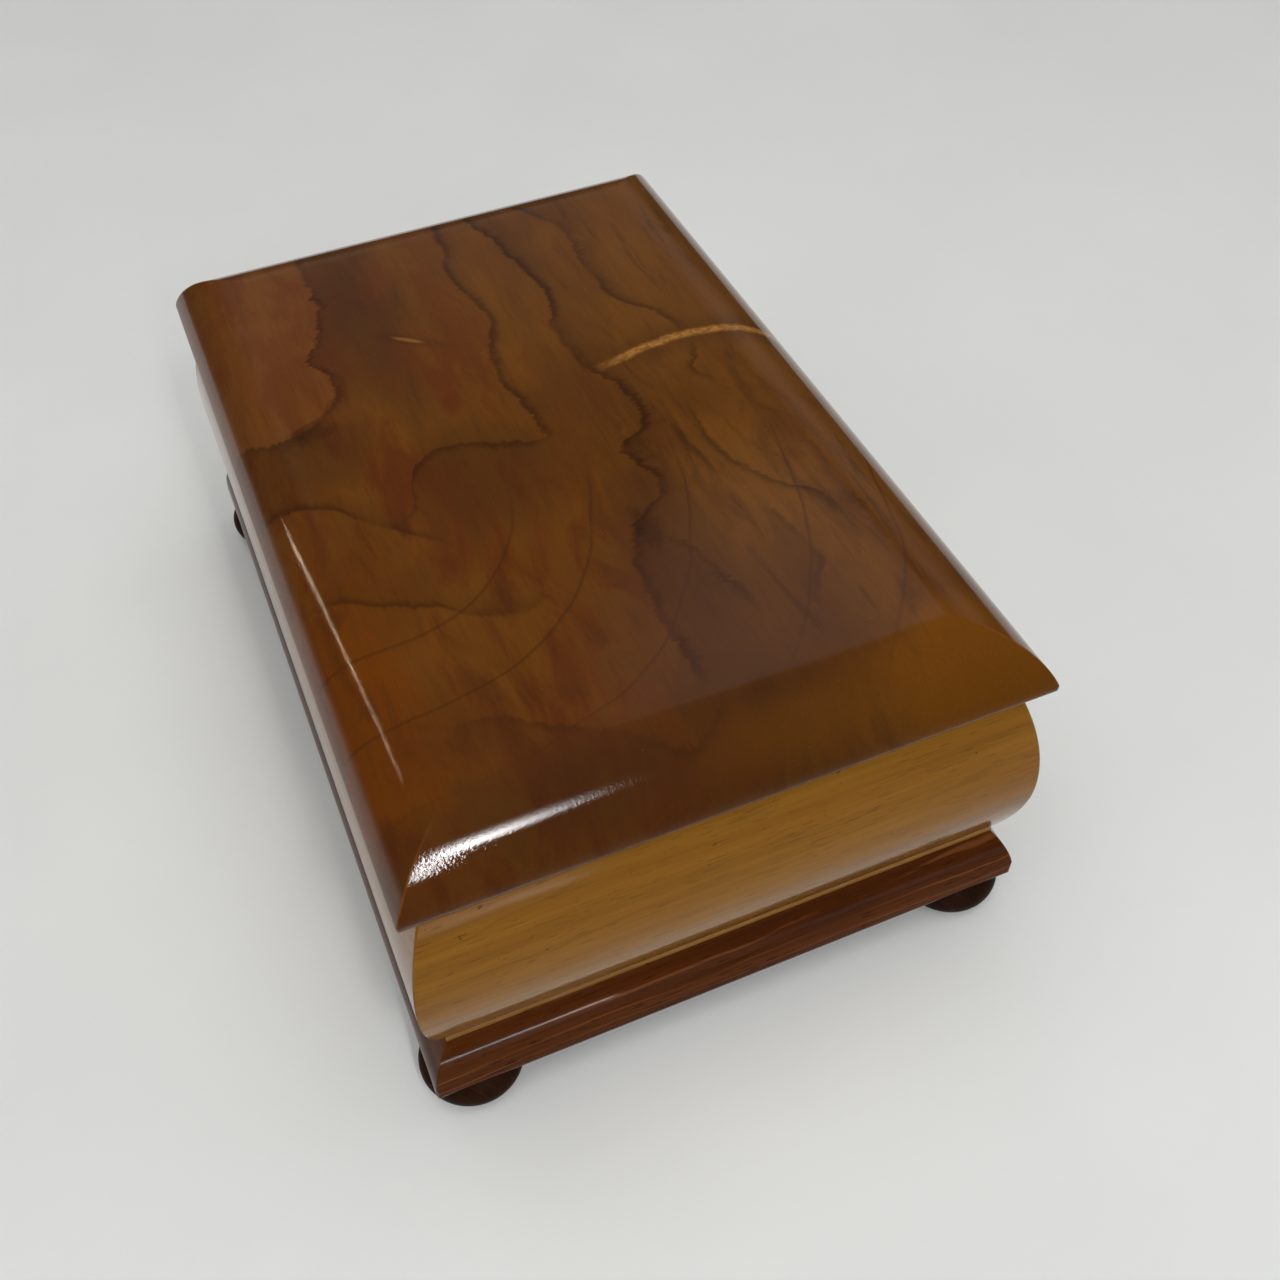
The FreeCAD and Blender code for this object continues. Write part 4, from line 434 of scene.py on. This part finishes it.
def railWood(name, turn, settings):
    made, tree, shader, place = startMaterial(name)
    shift = calc(tree, "MULTIPLY", put(tree, "ObjectInfo").outputs["Random"], 3.0)
    away = put(tree, "CombineXYZ", {0: shift, 1: shift, 2: shift}).outputs[0]
    along = stretch(tree, vectorCalc(tree, "ADD", place, away), (1, 1, 1), turn)
    grain = useGroup(tree, grainGroup, {"Vector": along})
    tone = ramp(tree, grain["Bands"], settings["bands"])
    fibre = calc(tree, "MULTIPLY", smooth(tree, grain["Fibre"], 0.4, 0.75), settings["fibre"])
    tone = mixColour(tree, fibre, tone, settings["dark"])
    # long wavy grain lines, thinning out here and there
    sides = put(tree, "SeparateXYZ", {0: along}).outputs
    height = calc(tree, "MULTIPLY", calc(tree, "ADD", sides[1], sides[2]), settings["lineCount"])
    wave = noise(tree, stretch(tree, along, (7, 26, 26)), 1.0, 3.0, 0.5)
    waved = calc(tree, "MULTIPLY_ADD", wave, 3.2, height)
    gap = calc(tree, "ABSOLUTE", calc(tree, "SUBTRACT", calc(tree, "FRACT", waved), 0.5))
    drawn = calc(tree, "MULTIPLY", smooth(tree, gap, settings["lineWidth"], settings["lineWidth"] * 0.3),
                 smooth(tree, noise(tree, stretch(tree, along, (12, 40, 40)), 1.0, 2.0), 0.34, 0.56))
    tone = mixColour(tree, calc(tree, "MULTIPLY", drawn, settings["figure"]), tone, settings["lineTone"])
    tone = mixColour(tree, calc(tree, "MULTIPLY", grain["Pores"], settings["pores"]), tone, settings["dark"])
    spots = noise(tree, place, 330.0, 2.0, 0.5)
    spots = calc(tree, "MULTIPLY", smooth(tree, spots, 0.71, 0.76), settings["specks"])
    tone = mixColour(tree, spots, tone, settings["dark"])
    wear = useGroup(tree, wearGroup, {"Vector": place, "Radius": settings["arris"]})["Wear"]
    tone = mixColour(tree, calc(tree, "MULTIPLY", wear, settings["wear"]), tone, settings["light"])
    lacquered(tree, shader, place, grain["Fibre"], settings)
    setShader(tree, shader, Base_Color=tone)
    if settings["polished"]:
        # extra polish between two heights: none at start, most from end on
        start, end, most = settings["polished"]
        height = put(tree, "SeparateXYZ", {0: place}).outputs[2]
        setShader(tree, shader, Coat_Weight=smooth(tree, height, start, end, 0.0, most),
                  Coat_Roughness=settings["coatGloss"])
    return made


wallLook = {"bands": [(0.3, colour(127, 80, 18)), (0.5, colour(143, 95, 26)), (0.7, colour(156, 108, 37))],
            "fibre": 0.22, "dark": colour(88, 52, 18), "light": colour(190, 144, 78),
            "figure": 0.2, "lineCount": 70, "lineWidth": 0.035, "lineTone": colour(92, 54, 18),
            "pores": 0.5, "specks": 0.8, "wear": 0.3, "arris": 0.0008, "grainBump": 0.02, "peel": 0.04,
            "gloss": (0.12, 0.2), "index": 1.16, "polished": (0.08, 0.045, 0.75), "coatGloss": 0.07}
baseLook = {"bands": [(0.3, colour(64, 30, 9)), (0.5, colour(81, 40, 12)), (0.72, colour(96, 51, 17))],
            "fibre": 0.4, "dark": colour(40, 19, 9), "light": colour(128, 78, 42),
            "figure": 0.42, "lineCount": 240, "lineWidth": 0.09, "lineTone": colour(136, 82, 44),
            "pores": 0.7, "specks": 0.3, "wear": 0.4, "arris": 0.0008, "grainBump": 0.08, "peel": 0.1,
            "gloss": (0.1, 0.18), "index": 1.12, "polished": (0.027, 0.031, 0.25), "coatGloss": 0.07}
footBands = [(0.3, colour(28, 14, 7)), (0.5, colour(38, 20, 9)), (0.7, colour(48, 26, 12))]
footLook = dict(baseLook, bands=footBands, figure=0.05, gloss=(0.4, 0.55), index=1.1, polished=None)
panelBands = [(0.3, colour(150, 112, 70)), (0.5, colour(176, 138, 92)), (0.7, colour(190, 154, 108))]
panelLook = dict(wallLook, bands=panelBands, gloss=(0.4, 0.55), index=1.4, polished=None, specks=0.3,
                 dark=colour(110, 78, 46), light=colour(205, 172, 128))
# the front and back walls are glossier than the ends
longWallLook = dict(wallLook, index=1.45, gloss=(0.06, 0.12), polished=None)
quarter = (0, 0, math.pi / 2)
upright = (0, math.pi / 2, 0)
materials["wall_wood"] = railWood("wallWood", (0, 0, 0), longWallLook)
materials["wall_wood across"] = railWood("wallWoodAcross", quarter, wallLook)
materials["base_wood"] = railWood("baseWood", (0, 0, 0), baseLook)
materials["base_wood across"] = railWood("baseWoodAcross", quarter, baseLook)
materials["foot_wood"] = railWood("footWood", upright, footLook)
materials["panel_wood"] = railWood("panelWood", (0, 0, 0), panelLook)
materials["panel_wood across"] = railWood("panelWoodAcross", quarter, panelLook)


def metal(name, settings):
    made, tree, shader, place = startMaterial(name)
    brush = noise(tree, stretch(tree, place, settings["brush"]), 1.0, 3.0, 0.6)
    stain = noise(tree, place, 70.0, 3.0, 0.5)
    tone = mixColour(tree, smooth(tree, stain, 0.25, 0.75), settings["bright"], settings["dull"])
    scratched = calc(tree, "MULTIPLY", smooth(tree, brush, 0.45, 0.8), 0.3)
    tone = mixColour(tree, scratched, tone, settings["dark"])
    wear = useGroup(tree, wearGroup, {"Vector": place, "Radius": settings["arris"]})["Wear"]
    tone = mixColour(tree, calc(tree, "MULTIPLY", wear, 0.6), tone, settings["edge"])
    rough = spread(tree, stain, settings["gloss"])
    normal = put(tree, "Bump", {"Strength": settings["bump"], "Distance": 0.0001, "Height": brush}).outputs[0]
    setShader(tree, shader, Base_Color=tone, Roughness=rough, Normal=normal)
    shader.inputs["Metallic"].default_value = settings["metallic"]
    return made


brassLook = {"brush": (60, 900, 900), "bright": colour(222, 178, 92), "dull": colour(206, 160, 78),
             "dark": colour(150, 108, 52), "edge": colour(245, 214, 140), "gloss": (0.22, 0.3),
             "bump": 0.06, "metallic": 1.0, "arris": 0.0004}
platedLook = dict(brassLook, bright=colour(232, 196, 118), dull=colour(220, 182, 104), gloss=(0.14, 0.2))
steelLook = dict(brassLook, bright=colour(192, 194, 200), dull=colour(174, 176, 184),
                 dark=colour(120, 124, 134), edge=colour(230, 232, 236))
ironLook = dict(brassLook, brush=(260, 260, 260), bright=colour(186, 178, 156), dull=colour(150, 142, 120),
                dark=colour(84, 80, 70), edge=colour(210, 200, 172), gloss=(0.4, 0.6), bump=0.4)
materials["brass"] = metal("brass", brassLook)
materials["plated_brass"] = metal("platedBrass", platedLook)
materials["steel"] = metal("steel", steelLook)
materials["cast_iron"] = metal("castIron", ironLook)

cementLook = {"deep": colour(58, 50, 44), "light": colour(94, 84, 72)}
made, tree, shader, place = startMaterial("cement")
crumb = noise(tree, place, 500.0, 4.0, 0.6)
tone = mixColour(tree, smooth(tree, crumb, 0.35, 0.65), cementLook["deep"], cementLook["light"])
setShader(tree, shader, Base_Color=tone, Roughness=smooth(tree, crumb, 0.2, 0.8, 0.6, 0.9),
          Normal=put(tree, "Bump", {"Strength": 0.5, "Distance": 0.0003, "Height": crumb}).outputs[0])
materials["cement"] = made

glassLook = {"tones": (colour(236, 246, 242), colour(248, 252, 250)), "gloss": (0.0, 0.012), "index": 1.46}
made, tree, shader, place = startMaterial("glass")
smear = noise(tree, place, 22.0, 4.0, 0.6, 1.0)
setShader(tree, shader, Base_Color=mixColour(tree, smear, *glassLook["tones"]),
          Roughness=smooth(tree, smear, 0.45, 0.75, *glassLook["gloss"]))
shader.inputs["Transmission Weight"].default_value = 1.0
shader.inputs["IOR"].default_value = glassLook["index"]
materials["glass"] = made

feltLook = {"deep": colour(96, 22, 30), "light": colour(132, 38, 44), "fluff": colour(158, 66, 68),
            "sheen": 0.4}
made, tree, shader, place = startMaterial("felt")
mottle = noise(tree, place, 60.0, 4.0, 0.6)
nap = noise(tree, place, 1400.0, 3.0, 0.7)
tone = mixColour(tree, smooth(tree, mottle, 0.35, 0.68), feltLook["deep"], feltLook["light"])
tone = mixColour(tree, calc(tree, "MULTIPLY", smooth(tree, nap, 0.5, 0.75), 0.5), tone, feltLook["fluff"])
setShader(tree, shader, Base_Color=tone, Roughness=smooth(tree, nap, 0.2, 0.8, 0.82, 0.98),
          Normal=put(tree, "Bump", {"Strength": 0.7, "Distance": 0.0005, "Height": nap}).outputs[0])
shader.inputs["Sheen Weight"].default_value = feltLook["sheen"]
materials["felt"] = made

# every CAD node takes the finish of its slot, with the grain along the piece
acrossNodes = {"wall_left", "wall_right", "base_left", "base_right", "partition", "ledge_left"}
for part in frame["record"]["subparts"]:
    key = part["material_slot"]
    if part["node"] in acrossNodes:
        key += " across"
    for slot in nodes[part["node"]].material_slots:
        slot.material = materials[key]
print("stage: materials set")


def meshObject(name, points, faces, material, body):
    mesh = bpy.data.meshes.new(name)
    mesh.from_pydata(points, [], faces)
    mesh.validate()
    mesh.update()
    made = bpy.data.objects.new(name, mesh)
    bpy.context.collection.objects.link(made)
    mesh.materials.append(material)
    for polygon in mesh.polygons:
        polygon.use_smooth = True
    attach(made, body)
    return made


def feltSheet(name, node, body, settings):
    # a closed cloth: two wavy faces with rolled edges between them
    low, high = (Vector(corner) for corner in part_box(node))
    low += Vector((settings["inset"], settings["inset"], 0))
    high -= Vector((settings["inset"], settings["inset"], 0))
    countX, countY = settings["cells"]
    points, faces = [], []
    for level in (0, 1):
        for row in range(countY + 1):
            for column in range(countX + 1):
                shareX, shareY = column / countX, row / countY
                x = low.x + (high.x - low.x) * shareX
                y = low.y + (high.y - low.y) * shareY
                rim = min(x - low.x, high.x - x, y - low.y, high.y - y)
                rolled = max(0.0, 1 - rim / settings["roll"]) ** 2 * settings["drop"]
                wave = settings["wave"] * (math.sin(x * 91 + y * 37) + math.sin(y * 113 - x * 29)) / 2
                top = high.z - rolled - settings["wave"] + wave
                bottom = low.z + rolled * 0.4
                if not settings["faceUp"]:
                    top, bottom = low.z + high.z - bottom, low.z + high.z - top
                points.append((x, y, (top, bottom)[level]))
    step = countX + 1
    count = step * (countY + 1)
    for row in range(countY):
        for column in range(countX):
            corner = row * step + column
            ring = [corner, corner + 1, corner + step + 1, corner + step]
            faces.append(ring)
            faces.append([index + count for index in reversed(ring)])
    border = list(range(countX))
    border += [row * step + countX for row in range(countY)]
    border += [countY * step + column for column in range(countX, 0, -1)]
    border += [row * step for row in range(countY, 0, -1)]
    for first, second in zip(border, border[1:] + border[:1]):
        faces.append([second, first, first + count, second + count])
    made = meshObject(name, points, faces, materials["felt"], body)
    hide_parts(node)
    return made


storageFelt = {"inset": 0.0003, "cells": (40, 100), "roll": 0.003, "drop": 0.0006, "wave": 0.00012,
               "faceUp": True, "restsOn": "bottom_panel"}
liningFelt = {"inset": 0.0003, "cells": (120, 80), "roll": 0.003, "drop": 0.0004, "wave": 0.0001,
              "faceUp": False, "restsOn": "lid"}
feltSheet("storageFelt", "storage_felt", "case", storageFelt)
feltSheet("lidLining", "lid_lining", "lid", liningFelt)
print("stage: felt laid")

# floor, soft light and camera
stageLook = {"floor": ((-0.9, -0.45), (0.34, 0.75)),
             "floorTones": (colour(216, 218, 216), colour(223, 224, 222)),
             "backdrop": colour(224, 226, 225), "farWall": colour(144, 141, 139), "dim": colour(52, 51, 50),
             "glow": (-0.543, 0.365, 0.757), "glowTone": colour(194, 184, 184), "mirroredTo": (-0.08, -0.4)}
made, tree, shader, place = startMaterial("paleFloor")
scuff = noise(tree, place, 9.0, 4.0, 0.6)
setShader(tree, shader, Base_Color=mixColour(tree, scuff, *stageLook["floorTones"]),
          Roughness=smooth(tree, scuff, 0.3, 0.7, 0.5, 0.62))
mesh = bpy.data.meshes.new("floor")
(lowX, lowY), (highX, highY) = stageLook["floor"]
mesh.from_pydata([(lowX, lowY, 0), (highX, lowY, 0), (highX, highY, 0), (lowX, highY, 0)], [], [(0, 1, 2, 3)])
mesh.materials.append(made)
floor = bpy.data.objects.new("floor", mesh)
bpy.context.collection.objects.link(floor)

# the room: a pale backdrop, and for reflections a dim room with a lighter far wall and a soft glow
world = bpy.data.worlds.new("studio")
world.use_nodes = True
tree = world.node_tree
heading = put(tree, "TexCoord").outputs["Generated"]
parts = put(tree, "SeparateXYZ", {0: heading}).outputs
farWall = product(tree, smooth(tree, parts[0], 0.1, -0.6), smooth(tree, parts[2], 0.66, 0.48),
                  smooth(tree, parts[2], 0.1, 0.4), smooth(tree, parts[1], -0.5, -0.1))
room = mixColour(tree, farWall, stageLook["dim"], stageLook["farWall"])
near = vectorCalc(tree, "DOT_PRODUCT", heading, stageLook["glow"], output="Value")
room = mixColour(tree, smooth(tree, near, 0.98, 1.0), room, stageLook["glowTone"])
rays = put(tree, "LightPath").outputs
shown = calc(tree, "MAXIMUM", rays["Is Camera Ray"], rays["Is Transmission Ray"])
# polish and metal show the backdrop in rays that head well below the horizon
lowDown = smooth(tree, parts[2], *stageLook["mirroredTo"])
shown = calc(tree, "MAXIMUM", shown, calc(tree, "MULTIPLY", rays["Is Glossy Ray"], lowDown))
room = mixColour(tree, shown, room, stageLook["backdrop"])
feed(tree, tree.nodes["Background"].inputs["Color"], room)
bpy.context.scene.world = world


def softbox(name, place, target, size, watts, mirrored=True):
    light = bpy.data.lights.new(name, "AREA")
    light.shape = "RECTANGLE"
    light.size, light.size_y = size
    light.energy = watts
    made = bpy.data.objects.new(name, light)
    bpy.context.collection.objects.link(made)
    made.location = place
    made.rotation_euler = (Vector(target) - Vector(place)).to_track_quat("-Z", "Y").to_euler()
    made.visible_camera = False
    made.visible_glossy = mirrored
    return made


# window seen in the polish: fades along its length, and its sill slants
window = softbox("windowLight", (1.34, 0.25, 1.28), (0.14, 0.25, 0.12), (0.6, 1.0), 205.0)
window.data.use_nodes = True
tree = window.data.node_tree
pane = put(tree, "SeparateXYZ", {0: put(tree, "NewGeometry").outputs["Parametric"]}).outputs
lengthFade = calc(tree, "POWER", smooth(tree, pane[0], 0.7, 0.0), 1.6)
sill = calc(tree, "ADD", smooth(tree, pane[0], 0.03, 0.17, 0.0, 0.5),
            smooth(tree, pane[0], 0.15, 0.6, 0.0, 0.14))
overSill = calc(tree, "SUBTRACT", pane[1], sill)
heightFade = calc(tree, "POWER", smooth(tree, overSill, 0.5, 0.06), 2.1)
strength = product(tree, smooth(tree, pane[0], 0.02, 0.06), lengthFade,
                   calc(tree, "MULTIPLY", smooth(tree, overSill, 0.0, 0.06), heightFade))
feed(tree, tree.nodes["Emission"].inputs["Strength"], strength)
# its glint along the shoulder of the base
glint = softbox("lowWindow", (0.46, -0.045, 0.0), (0.148, -0.075, 0.031), (0.1, 0.01), 0.06)
glint.visible_diffuse = False
softbox("ceilingLight", (0.25, -0.1, 2.3), (0, 0, 0), (2.8, 2.8), 42.0, False)
for name, place in (("fillFront", (1.7, -0.3, 0.9)), ("fillBack", (-1.8, 0.2, 1.0)),
                    ("fillLeft", (0, -1.8, 1.0)), ("fillRight", (0, 1.8, 1.0))):
    softbox(name, place, (0, 0, 0.1), (1.6, 1.2), 5.0, False)
# metal mirrors a soft light of its own, which the wood doesn't see
metalSlots = {"brass", "plated_brass", "steel", "cast_iron"}
brightPieces = bpy.data.collections.new("brightPieces")
for part in frame["record"]["subparts"]:
    if part["material_slot"] in metalSlots:
        brightPieces.objects.link(nodes[part["node"]])
metalLight = softbox("metalLight", (0.1, -0.5, 1.5), (0, 0, 0.05), (2.2, 2.2), 10.0)
metalLight.light_linking.receiver_collection = brightPieces
# thin tube whose reflection runs along the front edge of the lid
tubeLook = {"place": (-0.96, -1.03, 0.64), "target": (0.055, -0.089, 0.126), "size": (0.62, 0.002),
            "watts": 0.56, "tint": (1.0, 0.78, 0.52), "run": (0.26, 0.07, 0.48)}
tube = softbox("tubeLight", tubeLook["place"], tubeLook["target"], tubeLook["size"], tubeLook["watts"])
tube.data.color = tubeLook["tint"]
lengthwise = Vector(tubeLook["run"]).normalized()
facing = (tube.location - Vector(tubeLook["target"])).normalized()
sideways = facing.cross(lengthwise).normalized()
tube.rotation_euler = Matrix((lengthwise, sideways, lengthwise.cross(sideways))).transposed().to_euler()

# camera as fitted to the photo, angles in degrees, focal length and shift in image widths
cameraLook = {"azimuth": 69.69, "elevation": 49.02, "distance": 0.4874, "roll": -2.79,
              "target": (0.04299, 0.00266, 0.06), "focal": 1399.2 / 1280, "shift": (0.0205, 0.0124),
              "sensor": 36.0}
turn, tilt, lean = (math.radians(cameraLook[key]) for key in ("azimuth", "elevation", "roll"))
back = Vector((math.sin(turn) * math.cos(tilt), -math.cos(turn) * math.cos(tilt), math.sin(tilt)))
right = Vector((math.cos(turn), math.sin(turn), 0))
above = back.cross(right)
axisX = right * math.cos(lean) + above * math.sin(lean)
axisY = above * math.cos(lean) - right * math.sin(lean)
cameraData = bpy.data.cameras.new("camera")
cameraData.sensor_width = cameraLook["sensor"]
cameraData.lens = cameraLook["sensor"] * cameraLook["focal"]
cameraData.shift_x, cameraData.shift_y = cameraLook["shift"]
cameraData.clip_start = 0.01
camera = bpy.data.objects.new("camera", cameraData)
bpy.context.collection.objects.link(camera)
place = Vector(cameraLook["target"]) + back * cameraLook["distance"]
camera.matrix_world = Matrix.Translation(place) @ Matrix((axisX, axisY, back)).transposed().to_4x4()
bpy.context.scene.camera = camera
bpy.context.scene.view_settings.view_transform = "Standard"
print("stage: floor, light and camera set")
